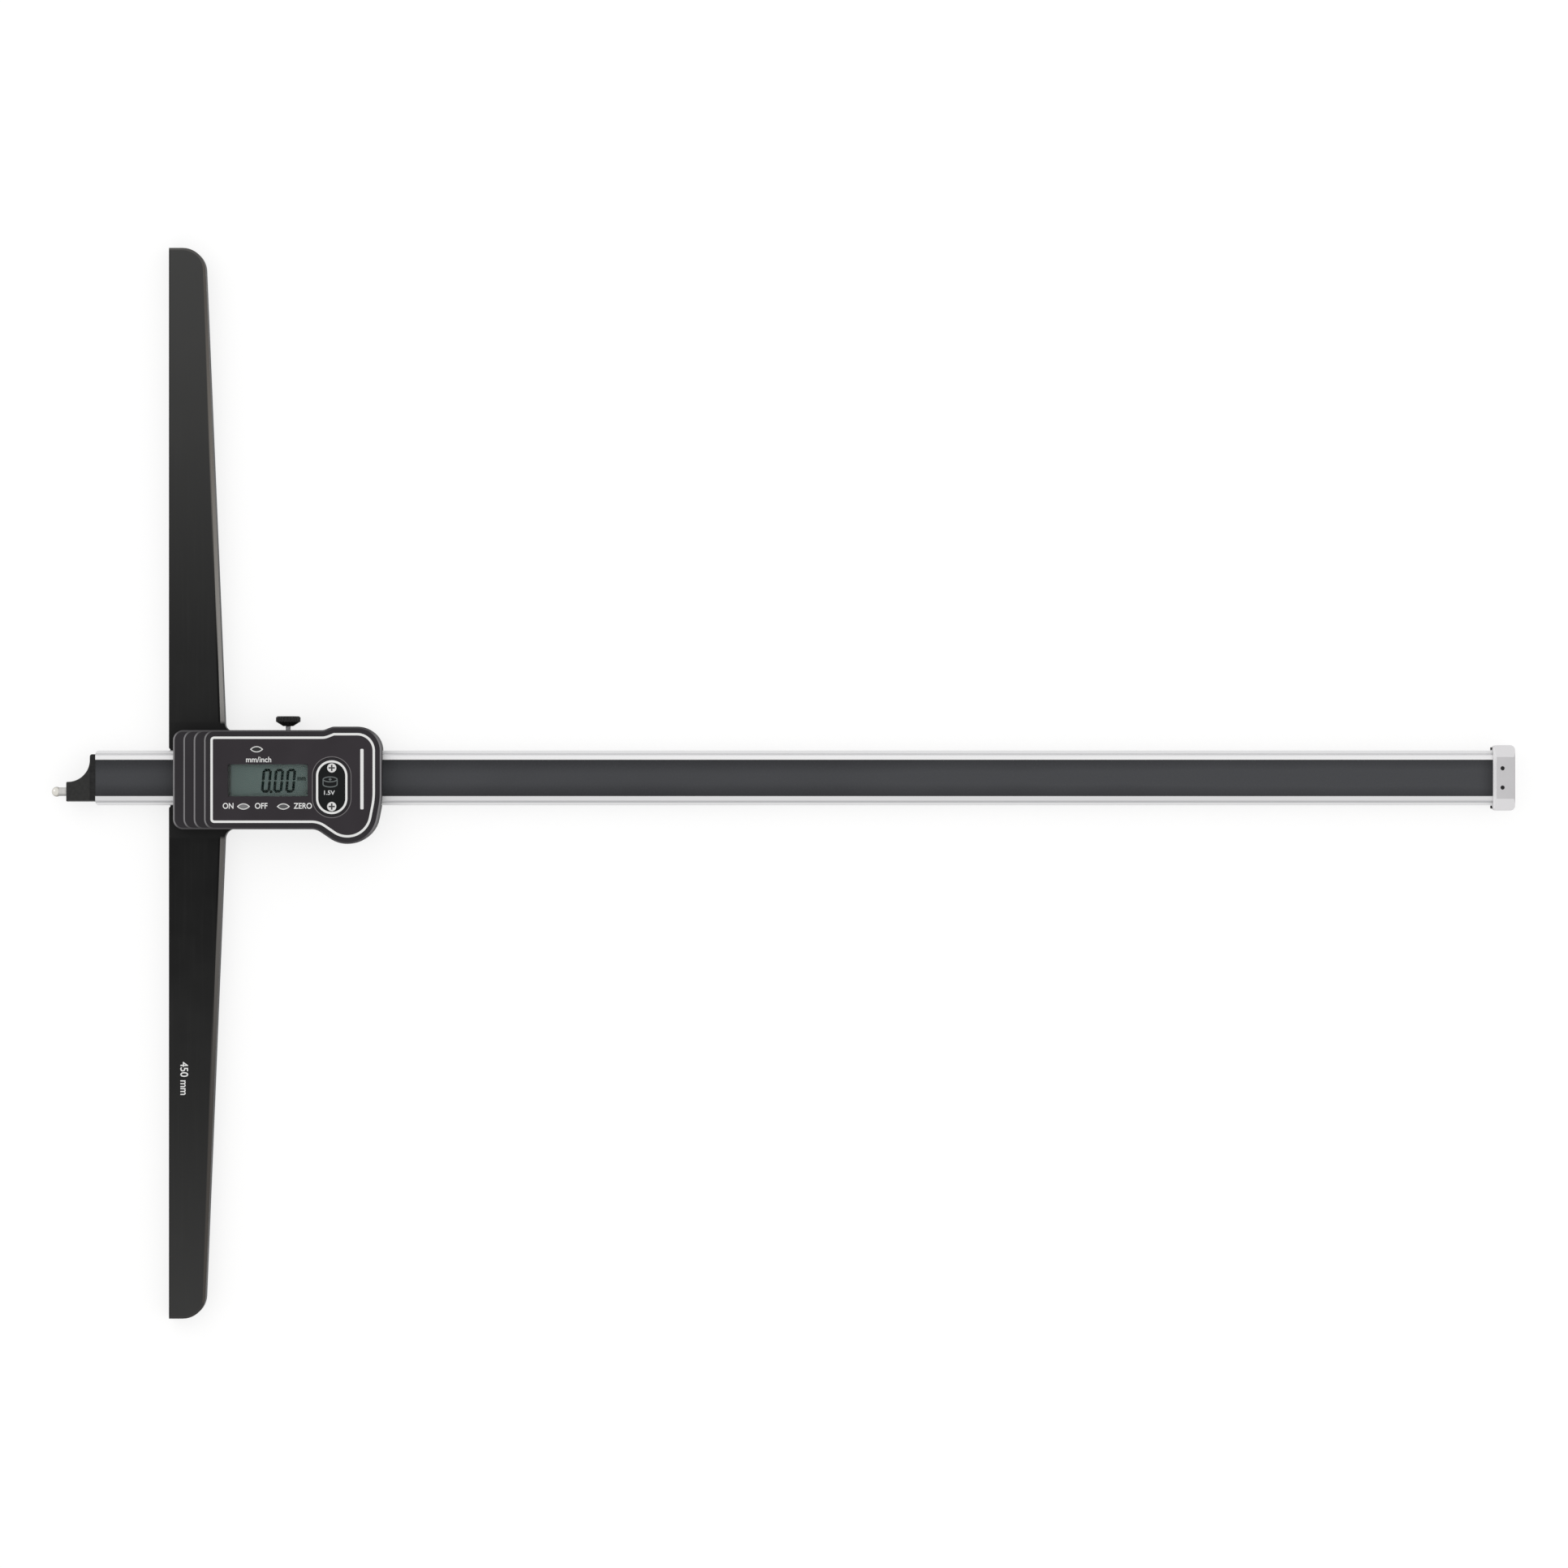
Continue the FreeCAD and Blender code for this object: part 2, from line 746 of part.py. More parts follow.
def build_beam_extrusion():
    half = beam_section()
    outline = half + [(-y, z) for y, z in reversed(half)]
    solid = extruded_x(outline, beam_front, beam_back)
    tools = [tongue()] + beam_corner_cutters()
    tools += [nose_screw(x, y) for x, y in nose_screw_places()]
    for x, y in cap_screw_places():
        tools.append(post(x, y, cap_screw_radius, beam_top - cap_screw_hold, beam_top + overrun))
    return cut(solid, tools)


def tongue():
    return block(beam_front - touching, beam_front + tongue_length, -tongue_width / 2, tongue_width / 2,
                 beam_mid - tongue_thickness / 2, beam_mid + tongue_thickness / 2)


def build_scale_strip():
    top = beam_top - scale_sink - film_thickness
    return block(beam_front, cap_front, -scale_width / 2, scale_width / 2, top - scale_thickness, top)


def build_scale_film():
    top = beam_top - scale_sink
    return block(beam_front, cap_front, -scale_width / 2, scale_width / 2, top - film_thickness, top)


def build_nose_block():
    """The contact holder: a flange on the beam's end and a concave sweep down to the tip."""
    solid = block(nose_front, beam_front, -nose_half, nose_half, beam_bottom, beam_top)
    arc_x = nose_flange_front - nose_arc_radius
    arc_y = nose_tip_y + nose_arc_radius
    low = beam_bottom - overrun
    top = beam_top + overrun
    solid = cut(solid, [
        post(arc_x, arc_y, nose_arc_radius, low, top),
        block(nose_front - overrun, arc_x, nose_tip_y, beam_half, low, top),
        block(arc_x - touching, nose_flange_front, arc_y, beam_half, low, top),
    ])
    solid = solid.makeFillet(nose_corner_radius, upright_edges(solid, [(nose_flange_front, nose_half)]))
    tip_corners = [(nose_front, -nose_half), (nose_front, nose_tip_y)]
    solid = solid.makeFillet(nose_tip_radius, upright_edges(solid, tip_corners))
    low_edge = edges_at(solid, lambda m: abs(m.z - beam_top) < touching and abs(m.y + nose_half) < touching)
    solid = solid.makeChamfer(nose_edge_chamfer, low_edge)
    solid = fuse(solid, [tongue()])
    tools = [nose_screw(x, y) for x, y in nose_screw_places()]
    tools.append(rod_x(contact_y, beam_mid, contact_stud_radius, nose_front - touching,
                       nose_front + contact_stud_length))
    return cut(solid, tools)


def build_nose_screws():
    screws = []
    for x, y in nose_screw_places():
        recess = cross_recess(x, y, nose_screw_head, beam_bottom - overrun, beam_bottom + nose_screw_radius)
        screws.append(cut(nose_screw(x, y), [recess]))
    return Part.makeCompound(screws)


ball_x = contact_tip + contact_ball_radius


def contact_ball_solid():
    return Part.makeSphere(contact_ball_radius, vector(ball_x, contact_y, beam_mid))


def build_contact_point():
    """The screwed-in shank, hollowed at its front to seat the ball."""
    shank_front = ball_x + contact_ball_radius * contact_seat_share
    shank = rod_x(contact_y, beam_mid, contact_shank_radius, shank_front, nose_front)
    stud = rod_x(contact_y, beam_mid, contact_stud_radius, nose_front - touching,
                 nose_front + contact_stud_length)
    return cut(fuse(shank, [stud]), [contact_ball_solid()])


def cap_front_wedge():
    """The cutter for the sloped edge that the cap turns to the slider."""
    corners = [
        (cap_front - overrun, cap_top - cap_front_chamfer - overrun),
        (cap_front + cap_front_chamfer + overrun, cap_top + overrun),
        (cap_front - overrun, cap_top + overrun),
    ]
    points = [vector(x, -cap_half - overrun, z) for x, z in corners]
    face = Part.Face(Part.makePolygon(points + points[:1]))
    return face.extrude(vector(0, (cap_half + overrun) * 2, 0))


def build_end_cap():
    """The block on the beam's far end, bevelled along both sides of its top."""
    section = [
        (-cap_half, 0), (cap_half, 0), (cap_half, cap_top - cap_bevel_drop),
        (cap_half - cap_bevel_width, cap_top), (cap_bevel_width - cap_half, cap_top),
        (-cap_half, cap_top - cap_bevel_drop),
    ]
    solid = extruded_x(section, cap_front, cap_back)
    plan = rounded_outline([
        (cap_front, -cap_half, cap_corner_radius), (cap_back, -cap_half, cap_corner_radius),
        (cap_back, cap_half, cap_corner_radius), (cap_front, cap_half, cap_corner_radius),
    ])
    solid = solid.common(prism(plan, -overrun, cap_top + overrun)).removeSplitter()
    back_edge = edges_at(solid, lambda m: abs(m.z - cap_top) < touching and abs(m.x - cap_back) < touching)
    solid = solid.makeChamfer(cap_back_chamfer, back_edge)
    tools = [
        block(cap_front - overrun, beam_back, -beam_half, beam_half, beam_bottom, beam_top),
        cap_front_wedge(),
    ]
    for x, y in cap_screw_places():
        tools.append(post(x, y, cap_screw_radius, beam_mid, cap_top + overrun))
    tools += bumper_rods()
    return cut(solid, tools)


def bumper_rods():
    y = beam_half + cap_side_wall * bumper_place_share
    back = cap_front - bumper_proud + bumper_length
    return [rod_x(side, beam_mid, bumper_radius, cap_front - bumper_proud, back) for side in (y, -y)]


def build_cap_screws():
    screws = []
    top = cap_top - cap_screw_sink
    for x, y in cap_screw_places():
        screw = post(x, y, cap_screw_radius, beam_top - cap_screw_hold, top)
        screws.append(cut(screw, [hexagon_z(x, y, cap_screw_hex, top - cap_screw_radius, top + overrun)]))
    return Part.makeCompound(screws)


def plate_level(index):
    return housing_top - plate_step * (plate_count - 1 - index)


def cover_screw_places():
    return [(battery_x, battery_y + cover_screw_reach), (battery_x, battery_y - cover_screw_reach)]


def button_opening(x, y):
    """The hole that a key stands in."""
    return lens(x, y, button_width + button_gap * 2, button_height + button_gap * 2)


def build_housing_cover():
    """The moulded housing: stepped grip plates, thin walls, bosses and the battery well."""
    plates = []
    for index in range(plate_count):
        outline = slider_outline(plate_front + plate_pitch * index)
        plate = prism(outline, base_thickness, plate_level(index))
        plates.append(chamfer_top_edges(plate, plate_edge_chamfer, plate_level(index)))
    solid = fuse(plates[0], plates[1:])
    face = slider_outline(face_front)
    cavity = prism(inset(face, housing_wall), base_thickness - overrun, roof_bottom)
    beam_room = block(plate_front - overrun, slider_back + overrun, -notch_half, notch_half,
                      base_thickness - overrun, board_bottom)
    solid = cut(solid, [cavity, beam_room])
    pieces = [post(x, y, boss_radius, base_thickness, roof_bottom) for x, y in housing_screw_places()]
    pieces += [post(x, y, boss_radius, board_top, roof_bottom) for x, y in board_screw_places()]
    pieces.append(prism(capsule(battery_x, battery_y, well_outer * 2,
                                battery_cover_length + battery_recess_margin * 2), board_top, roof_bottom))
    solid = fuse(solid, pieces)
    top = housing_top + overrun
    tools = [
        prism(inset(face, panel_inset), panel_bottom, top),
        block(display_left, display_left + display_width, display_y - display_height / 2,
              display_y + display_height / 2, roof_bottom - touching, top),
        post(battery_x, battery_y, well_radius, board_top - touching, battery_cover_bottom),
        prism(capsule(battery_x, battery_y, battery_cover_width + battery_cover_gap * 2,
                      battery_cover_length + battery_cover_gap * 2), battery_cover_bottom, top),
        prism(capsule(battery_x, battery_y, well_outer * 2, battery_cover_length + battery_recess_margin * 2),
              housing_top - battery_recess_depth, top),
    ]
    for x, y in button_places.values():
        tools.append(prism(button_opening(x, y), roof_bottom - touching, top))
    for x, y in cover_screw_places():
        tools.append(post(x, y, cover_screw_radius, battery_cover_bottom - cover_screw_depth,
                          battery_cover_bottom + touching))
    for x, y in housing_screw_places():
        tools.append(post(x, y, housing_screw_radius, base_thickness - overrun,
                          housing_screw_sink + housing_screw_length))
    for x, y in board_screw_places():
        tools.append(post(x, y, board_screw_radius, board_top - touching, board_bottom + board_screw_depth))
    return cut(solid, tools)


def build_housing_screws():
    screws = []
    for x, y in housing_screw_places():
        head_top = housing_screw_sink + housing_screw_head_height
        head = post(x, y, housing_screw_head, housing_screw_sink, head_top)
        shank = post(x, y, housing_screw_radius, head_top, housing_screw_sink + housing_screw_length)
        recess = cross_recess(x, y, housing_screw_head, 0, housing_screw_sink + housing_screw_head_height / 2)
        screws.append(cut(fuse(head, [shank]), [recess]))
    return Part.makeCompound(screws)


def build_front_panel():
    """The thin overlay sheet with its cut-outs for display, buttons and battery cover."""
    sheet = prism(inset(slider_outline(face_front), panel_inset), panel_bottom, housing_top)
    low = panel_bottom - overrun
    top = housing_top + overrun
    tools = [
        block(display_left, display_left + display_width, display_y - display_height / 2,
              display_y + display_height / 2, low, top),
        prism(capsule(battery_x, battery_y, well_outer * 2, battery_cover_length + battery_recess_margin * 2),
              low, top),
    ]
    for x, y in button_places.values():
        tools.append(prism(button_opening(x, y), low, top))
    return cut(sheet, tools)


def centred_block(x, y, length, height, z0, z1):
    return block(x - length / 2, x + length / 2, y - height / 2, y + height / 2, z0, z1)


def build_display_window():
    """A clear stepped lens: its flange lies under the roof, its face is flush with the panel."""
    flange = centred_block(display_x, display_y, glass_length, glass_height, glass_top, roof_bottom)
    face = centred_block(display_x, display_y, display_width, display_height, roof_bottom, housing_top)
    return fuse(flange, [face])


def build_display_glass():
    return centred_block(display_x, display_y, glass_length, glass_height, glass_bottom, glass_top)


def build_display_frame():
    """The carrier that stands on the board and holds the glass and the window."""
    gap = display_frame_gap * 2
    solid = centred_block(display_x, display_y, frame_length, frame_height, board_top, roof_bottom)
    pocket = centred_block(display_x, display_y, glass_length + gap, glass_height + gap, glass_bottom,
                           roof_bottom + overrun)
    well = centred_block(display_x, display_y, glass_length - display_frame_ledge * 2,
                         glass_height - display_frame_wall * 2, board_top - overrun, glass_bottom + touching)
    return cut(solid, [pocket, well])


def build_display_connectors():
    """Two rubber strips that carry the display's contacts down to the board."""
    reach = glass_height / 2 - display_frame_wall - display_frame_gap - connector_width / 2
    length = glass_length - display_frame_ledge * 2 - display_frame_gap * 2
    return Part.makeCompound([centred_block(display_x, display_y + side, length, connector_width, board_top,
                                            glass_bottom) for side in (reach, -reach)])


def build_circuit_board():
    plan = inset(slider_outline(face_front), housing_wall + board_edge_gap)
    solid = prism(plan, board_bottom, board_top)
    tools = [post(x, y, boss_radius + board_edge_gap, board_bottom - overrun, board_top + overrun)
             for x, y in housing_screw_places()]
    tools += [post(x, y, board_screw_radius, board_bottom - overrun, board_top + overrun)
              for x, y in board_screw_places()]
    return cut(solid, tools)


def build_board_screws():
    screws = []
    for x, y in board_screw_places():
        low = board_bottom - board_screw_head_height
        head = post(x, y, board_screw_head, low, board_bottom)
        shank = post(x, y, board_screw_radius, board_bottom, board_bottom + board_screw_depth)
        screws.append(fuse(head, [shank]))
    return Part.makeCompound(screws)


def build_controller_chip():
    chip = centred_block(display_x, display_y, chip_size, chip_size, board_top, board_top + chip_height)
    return chamfer_top_edges(chip, chip_corner_radius, board_top + chip_height)


def build_tact_switches():
    switches = []
    for x, y in button_places.values():
        body = centred_block(x, y, switch_width, switch_depth, board_top, board_top + switch_height)
        plunger = post(x, y, switch_plunger_radius, board_top + switch_height, switch_top)
        switches.append(fuse(body, [plunger]))
    return Part.makeCompound(switches)


def build_button(x, y):
    """A lens-shaped key with a flange under the roof and a stem down to its switch."""
    flange_top = roof_bottom - slide_gap
    flange_low = flange_top - button_flange_thickness
    key = prism(lens(x, y, button_width, button_height), flange_top, housing_top + button_proud)
    flange = prism(lens(x, y, button_width + button_flange * 2, button_height + button_flange * 2),
                   flange_low, flange_top)
    stem = post(x, y, button_stem_radius, switch_top + button_travel + slide_gap, flange_low)
    return fuse(key, [flange, stem])


def build_button_cell():
    can = post(battery_x, battery_y, cell_radius, cell_bottom + cell_rim, cell_top)
    lid = post(battery_x, battery_y, cell_radius - cell_rim, cell_bottom, cell_bottom + cell_rim)
    return fuse(can, [lid])


def build_contact_negative():
    return centred_block(battery_x, battery_y, contact_strip_length, contact_strip_width,
                         board_top, cell_bottom)


def build_contact_positive():
    """A curved strip that stands on the board and touches the cell's side."""
    inner = cell_radius
    ring = cut(post(battery_x, battery_y, inner + contact_strip_thickness, board_top, cell_top - cell_rim),
               [post(battery_x, battery_y, inner, board_top - overrun, cell_top + overrun)])
    turn = math.radians(contact_strip_degrees / 2)
    far = well_outer * 2
    spread = far * math.tan(turn)
    points = [vector(battery_x, battery_y, board_top), vector(battery_x + far, battery_y - spread, board_top),
              vector(battery_x + far, battery_y + spread, board_top)]
    wedge = Part.Face(Part.makePolygon(points + points[:1])).extrude(vector(0, 0, cell_height))
    return ring.common(wedge).removeSplitter()


def cover_screw(x, y):
    head_low = battery_cover_top - cover_screw_head_height
    head = post(x, y, cover_screw_head, head_low, battery_cover_top)
    shank = post(x, y, cover_screw_radius, battery_cover_bottom - cover_screw_depth, head_low)
    return fuse(head, [shank])


def build_battery_cover():
    solid = prism(capsule(battery_x, battery_y, battery_cover_width, battery_cover_length),
                  battery_cover_bottom, battery_cover_top)
    return cut(solid, [cover_screw(x, y) for x, y in cover_screw_places()])


def build_battery_cover_screws():
    screws = []
    for x, y in cover_screw_places():
        plain = cover_screw(x, y)
        rim = edges_at(plain, lambda middle: abs(middle.z - battery_cover_top) < touching)
        recess = cross_recess(x, y, cover_screw_head, battery_cover_top - cover_screw_head_height / 2,
                              battery_cover_top + overrun)
        screws.append(cut(plain.makeFillet(cover_screw_head_round, rim), [recess]))
    return Part.makeCompound(screws)


nodes = {
    "base_bridge": build_base_bridge(),
    "guide_rails": build_rails(),
    "guide_rail_screws": build_rail_screws(),
    "gib_strip": build_gib_strip(),
    "gib_screws": build_gib_screws(),
    "clamp_shoe": build_clamp_shoe(),
    "clamp_stud": build_clamp_stud(),
    "clamp_knob": build_clamp_knob(),
    "beam_extrusion": build_beam_extrusion(),
    "scale_strip": build_scale_strip(),
    "scale_cover_film": build_scale_film(),
    "nose_block": build_nose_block(),
    "nose_block_screws": build_nose_screws(),
    "contact_point": build_contact_point(),
    "contact_ball": contact_ball_solid(),
    "end_cap": build_end_cap(),
    "end_cap_screws": build_cap_screws(),
    "stop_bumpers": Part.makeCompound(bumper_rods()),
    "housing_cover": build_housing_cover(),
    "housing_screws": build_housing_screws(),
    "front_panel": build_front_panel(),
    "display_window": build_display_window(),
    "display_glass": build_display_glass(),
    "display_frame": build_display_frame(),
    "display_connectors": build_display_connectors(),
    "circuit_board": build_circuit_board(),
    "board_screws": build_board_screws(),
    "controller_chip": build_controller_chip(),
    "tact_switches": build_tact_switches(),
    "button_cell": build_button_cell(),
    "battery_contact_negative": build_contact_negative(),
    "battery_contact_positive": build_contact_positive(),
    "battery_cover": build_battery_cover(),
    "battery_cover_screws": build_battery_cover_screws(),
}
for button, (button_x, button_y) in button_places.items():
    nodes[button] = build_button(button_x, button_y)

for name, shape in nodes.items():
    shape.exportStep("parts/" + name + ".step")
    print(name, "solids", len(shape.Solids), "valid", shape.isValid())
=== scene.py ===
import math

import bmesh
import bpy
from mathutils import Matrix, Vector


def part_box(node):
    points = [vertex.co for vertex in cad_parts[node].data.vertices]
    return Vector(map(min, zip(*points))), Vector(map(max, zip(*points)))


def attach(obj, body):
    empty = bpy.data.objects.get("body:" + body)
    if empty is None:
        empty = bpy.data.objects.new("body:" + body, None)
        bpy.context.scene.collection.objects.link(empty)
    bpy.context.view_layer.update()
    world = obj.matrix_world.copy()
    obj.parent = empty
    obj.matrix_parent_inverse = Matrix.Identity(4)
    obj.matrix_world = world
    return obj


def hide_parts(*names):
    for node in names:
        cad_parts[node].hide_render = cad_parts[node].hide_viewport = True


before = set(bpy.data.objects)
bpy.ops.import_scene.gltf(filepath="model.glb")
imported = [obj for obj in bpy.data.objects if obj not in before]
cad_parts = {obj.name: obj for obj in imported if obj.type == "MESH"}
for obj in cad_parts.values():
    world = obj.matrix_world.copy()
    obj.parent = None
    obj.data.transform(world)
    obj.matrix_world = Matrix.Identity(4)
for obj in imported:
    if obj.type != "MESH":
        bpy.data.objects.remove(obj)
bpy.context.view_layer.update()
scene = bpy.context.scene
mm = 0.001
inMm = 1000.0
diagonal = math.sqrt(0.5)
weld = 1e-6  # points nearer than this are one point
print("frame loaded")

# how the photograph sees the gauge: square on, from far away
photoView = {"centre": (229.7, -2.27), "level": 10.0, "distance": 3000.0, "width": 585.5, "sensor": 36.0,
             "farthest": 20.0}


def makeCamera():
    lens = bpy.data.cameras.new("photoCamera")
    lens.sensor_width = photoView["sensor"]
    lens.lens = photoView["sensor"] * photoView["distance"] / photoView["width"]
    lens.clip_end = photoView["farthest"]
    camera = bpy.data.objects.new("photoCamera", lens)
    scene.collection.objects.link(camera)
    x, y = photoView["centre"]
    camera.location = (x * mm, y * mm, (photoView["level"] + photoView["distance"]) * mm)
    scene.camera = camera


makeCamera()
scene.view_settings.view_transform = "Standard"
print("camera placed")


# shader maths as plain expressions

class Wire:
    def __init__(self, material, socket):
        self.material = material
        self.socket = socket

    def math(self, operation, *values):
        return self.material.node("ShaderNodeMath", {"operation": operation}, *values)

    def __add__(self, other):
        return self.math("ADD", self, other)

    def __radd__(self, other):
        return self.math("ADD", other, self)

    def __sub__(self, other):
        return self.math("SUBTRACT", self, other)

    def __rsub__(self, other):
        return self.math("SUBTRACT", other, self)

    def __mul__(self, other):
        return self.math("MULTIPLY", self, other)

    def __rmul__(self, other):
        return self.math("MULTIPLY", other, self)

    def __truediv__(self, other):
        return self.math("DIVIDE", self, other)

    def __rtruediv__(self, other):
        return self.math("DIVIDE", other, self)

    def largest(self, other):
        return self.math("MAXIMUM", self, other)

    def size(self):
        return self.math("ABSOLUTE", self)

    def step(self, low, high):
        # 0 below low, 1 above high, smooth between
        kind = {"interpolation_type": "SMOOTHSTEP"}
        return self.material.node("ShaderNodeMapRange", kind, self, low, high, 0.0, 1.0)

    def part(self, name):
        return Wire(self.material, self.socket.node.outputs[name])


class Finish:
    def __init__(self, name):
        self.material = bpy.data.materials.new(name)
        self.material.use_nodes = True
        self.tree = self.material.node_tree
        self.tree.nodes.clear()
        self.output = self.tree.nodes.new("ShaderNodeOutputMaterial")
        self.shader = self.tree.nodes.new("ShaderNodeBsdfPrincipled")
        self.tree.links.new(self.shader.outputs["BSDF"], self.output.inputs["Surface"])
        self.place = self.node("ShaderNodeTexCoord", {}).part("Object")

    def node(self, kind, settings, *values, **named):
        made = self.tree.nodes.new(kind)
        for key, value in settings.items():
            if key == "stops":
                ramp = made.color_ramp
                while len(ramp.elements) < len(value):
                    ramp.elements.new(0.5)
                for element, (position, colour) in zip(ramp.elements, value):
                    element.position = position
                    element.color = (*colour, 1.0)
            else:
                setattr(made, key, value)
        for index, value in enumerate(values):
            self.feed(made.inputs[index], value)
        for name, value in named.items():
            self.feed(made.inputs[name], value)
        return Wire(self, next(socket for socket in made.outputs if socket.enabled))

    def feed(self, socket, value):
        if isinstance(value, Wire):
            self.tree.links.new(value.socket, socket)
        else:
            socket.default_value = value

    def set(self, **values):
        for name, value in values.items():
            self.feed(self.shader.inputs[name.replace("_", " ")], value)

    def mix(self, factor, first, second):
        # two colours, each plain or wired
        made = self.tree.nodes.new("ShaderNodeMix")
        made.data_type = "RGBA"
        sockets = {socket.identifier: socket for socket in made.inputs}
        self.feed(sockets["Factor_Float"], factor)
        for name, colour in (("A_Color", first), ("B_Color", second)):
            self.feed(sockets[name], colour if isinstance(colour, Wire) else (*colour, 1.0))
        return Wire(self, next(socket for socket in made.outputs if socket.identifier == "Result_Color"))

    def along(self, axis):
        return self.node("ShaderNodeSeparateXYZ", {}, self.place).part(axis)

    def facing(self, x, y, z):
        # how far the surface faces a direction, from -1 to 1
        normal = self.node("ShaderNodeTexCoord", {}).part("Normal")
        product = self.node("ShaderNodeVectorMath", {"operation": "DOT_PRODUCT"}, normal, (x, y, z))
        return product.part("Value")

    def noise(self, scale, stretch=(1, 1, 1), detail=3.0, roughness=0.5):
        place = self.node("ShaderNodeMapping", {}, self.place, Scale=stretch)
        made = self.node("ShaderNodeTexNoise", {}, Vector=place, Scale=scale, Detail=detail,
                         Roughness=roughness)
        return made.part("Fac")

    def bump(self, height, distance, strength=1.0):
        return self.node("ShaderNodeBump", {}, Strength=strength, Distance=distance, Height=height)


def paint(node, finish):
    # a CAD node keeps its mesh and gets the finish in every slot
    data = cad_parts[node].data
    if not data.materials:
        data.materials.append(finish.material)
    for index in range(len(data.materials)):
        data.materials[index] = finish.material


# base and guide

baseLook = {"middle": (0.0040, 0.0040, 0.0040), "end": (0.047, 0.047, 0.046), "wearAndSheen": (0.06, 0.06, 0.058),
            "slopeLow": (0.042, 0.041, 0.040), "slopeHigh": (0.085, 0.082, 0.078),
            "datumEdge": (0.003, 0.003, 0.003), "bevelShadowLine": (0.0005, 0.0005, 0.0005),
            "neck": (0.009, 0.009, 0.009), "neckReach": (0.0208, 0.0224), "neckShift": 0.0008,
            "darkest": -32.0, "span": 200.0, "bevelMid": 19.7, "bevelEnd": 12.9,
            "bevel": [(0.18, (0.067, 0.060, 0.054)), (0.42, (0.150, 0.143, 0.136)),
                      (0.57, (0.33, 0.32, 0.305)), (0.80, (0.18, 0.165, 0.148)),
                      (0.95, (0.094, 0.085, 0.077))]}


def blackenedSteel():
    finish = Finish("blackenedSteel")
    across = finish.along("Y")
    # painted reflection: the top is darkest at the Y given as darkest and lighter towards both ends of the
    # arms
    towardsEnd = ((across * inMm - baseLook["darkest"]) / baseLook["span"]).size()
    endSheen = towardsEnd.step(0.0, 1.3)
    mottle = finish.noise(38.0, detail=4.0)
    streaks = finish.noise(900.0, (1.0, 0.03, 1.0), detail=2.0)
    base = finish.mix(endSheen, baseLook["middle"], baseLook["end"])
    patches = (mottle - 0.5).largest(0.0) * 0.3
    scratches = (streaks - 0.5).largest(0.0) * 0.2
    rubbed = finish.mix(patches + scratches, base, baseLook["wearAndSheen"])
    upward = finish.facing(0.0, 0.0, 1.0)
    # painted sheen: sloped faces are lighter than the top, those on the +Y arm lighter than those on the -Y
    # arm
    slope = (1.0 - upward.step(0.9, 0.97)) * upward.step(0.25, 0.5)
    bevel = finish.facing(diagonal, 0.0, diagonal).step(0.965, 0.985)
    # painted shade: a dark line on the chamfer along the datum edge
    datum = finish.facing(-diagonal, 0.0, diagonal).step(0.9, 0.97)
    sloped = finish.mix(across.step(-0.15, 0.15), baseLook["slopeLow"], baseLook["slopeHigh"])
    edged = finish.mix(slope, rubbed, sloped)
    # how far a point lies past the inner line of the tapered bevel, in millimetres
    fall = (baseLook["bevelMid"] - baseLook["bevelEnd"]) / baseLook["span"]
    beside = finish.along("X") * inMm + across.size() * inMm * fall - baseLook["bevelMid"]
    # painted reflection: the bevel's bright band is carried onto the top past the tapered bevel line on the
    # arms
    wearAndSheen = beside.step(-0.65, -0.25) * across.size().step(0.07, 0.13) * upward.step(0.9, 0.99)
    datumShaded = finish.mix(datum, edged, baseLook["datumEdge"])
    # painted reflection on the bevel, lighter or darker along Y as given in the bevel stops
    bright = finish.node("ShaderNodeValToRGB", {"stops": baseLook["bevel"]}, across * 2.5 + 0.5)
    bevelled = finish.mix(bevel.largest(wearAndSheen * 0.7), datumShaded, bright)
    above = upward.step(0.2, 0.5)
    # painted shadow: a dark line on the top along the bevel's inner line, near the slider
    nearSlider = 1.0 - across.size().step(0.04, 0.075)
    bevelShadowLine = beside.step(-0.7, -0.3) * (1.0 - beside.step(0.15, 0.35)) * nearSlider
    shadowLined = finish.mix(bevelShadowLine * above, bevelled, baseLook["bevelShadowLine"])
    neck = (1.0 - (across + baseLook["neckShift"]).size().step(*baseLook["neckReach"])) * above
    finish.set(Base_Color=finish.mix(neck, shadowLined, baseLook["neck"]), Roughness=0.42 + streaks * 0.12,
               Normal=finish.bump(streaks, 0.00002, 0.35), Specular_IOR_Level=0.12)
    return finish


steelLook = {"colour": (0.56, 0.56, 0.57), "dark": (0.42, 0.42, 0.43)}


def groundSteel(name, stretch):
    finish = Finish(name)
    streaks = finish.noise(2200.0, stretch, detail=3.0)
    finish.set(Base_Color=finish.mix(streaks, steelLook["dark"], steelLook["colour"]), Metallic=1.0,
               Roughness=0.26 + streaks * 0.2, Normal=finish.bump(streaks, 0.00001, 0.4))
    return finish


blackScrewLook = {"low": (0.02, 0.02, 0.021), "high": (0.045, 0.045, 0.046)}


def blackScrew():
    finish = Finish("blackScrew")
    grain = finish.noise(3500.0)
    finish.set(Base_Color=finish.mix(grain, blackScrewLook["low"], blackScrewLook["high"]), Metallic=0.6,
               Roughness=0.32 + grain * 0.2)
    return finish


def castBrass(name, colour, dark):
    finish = Finish(name)
    grain = finish.noise(1800.0, (1.0, 0.2, 1.0))
    finish.set(Base_Color=finish.mix(grain, dark, colour), Metallic=1.0, Roughness=0.3 + grain * 0.15,
               Normal=finish.bump(grain, 0.00001, 0.3))
    return finish


# beam and its ends

beamLook = {"bright": (0.93, 0.925, 0.93), "soft": (0.59, 0.59, 0.595), "edge": (0.79, 0.79, 0.795),
            "stepLow": (0.52, 0.52, 0.53), "stepHigh": (0.63, 0.625, 0.635), "stepAt": 8.85}


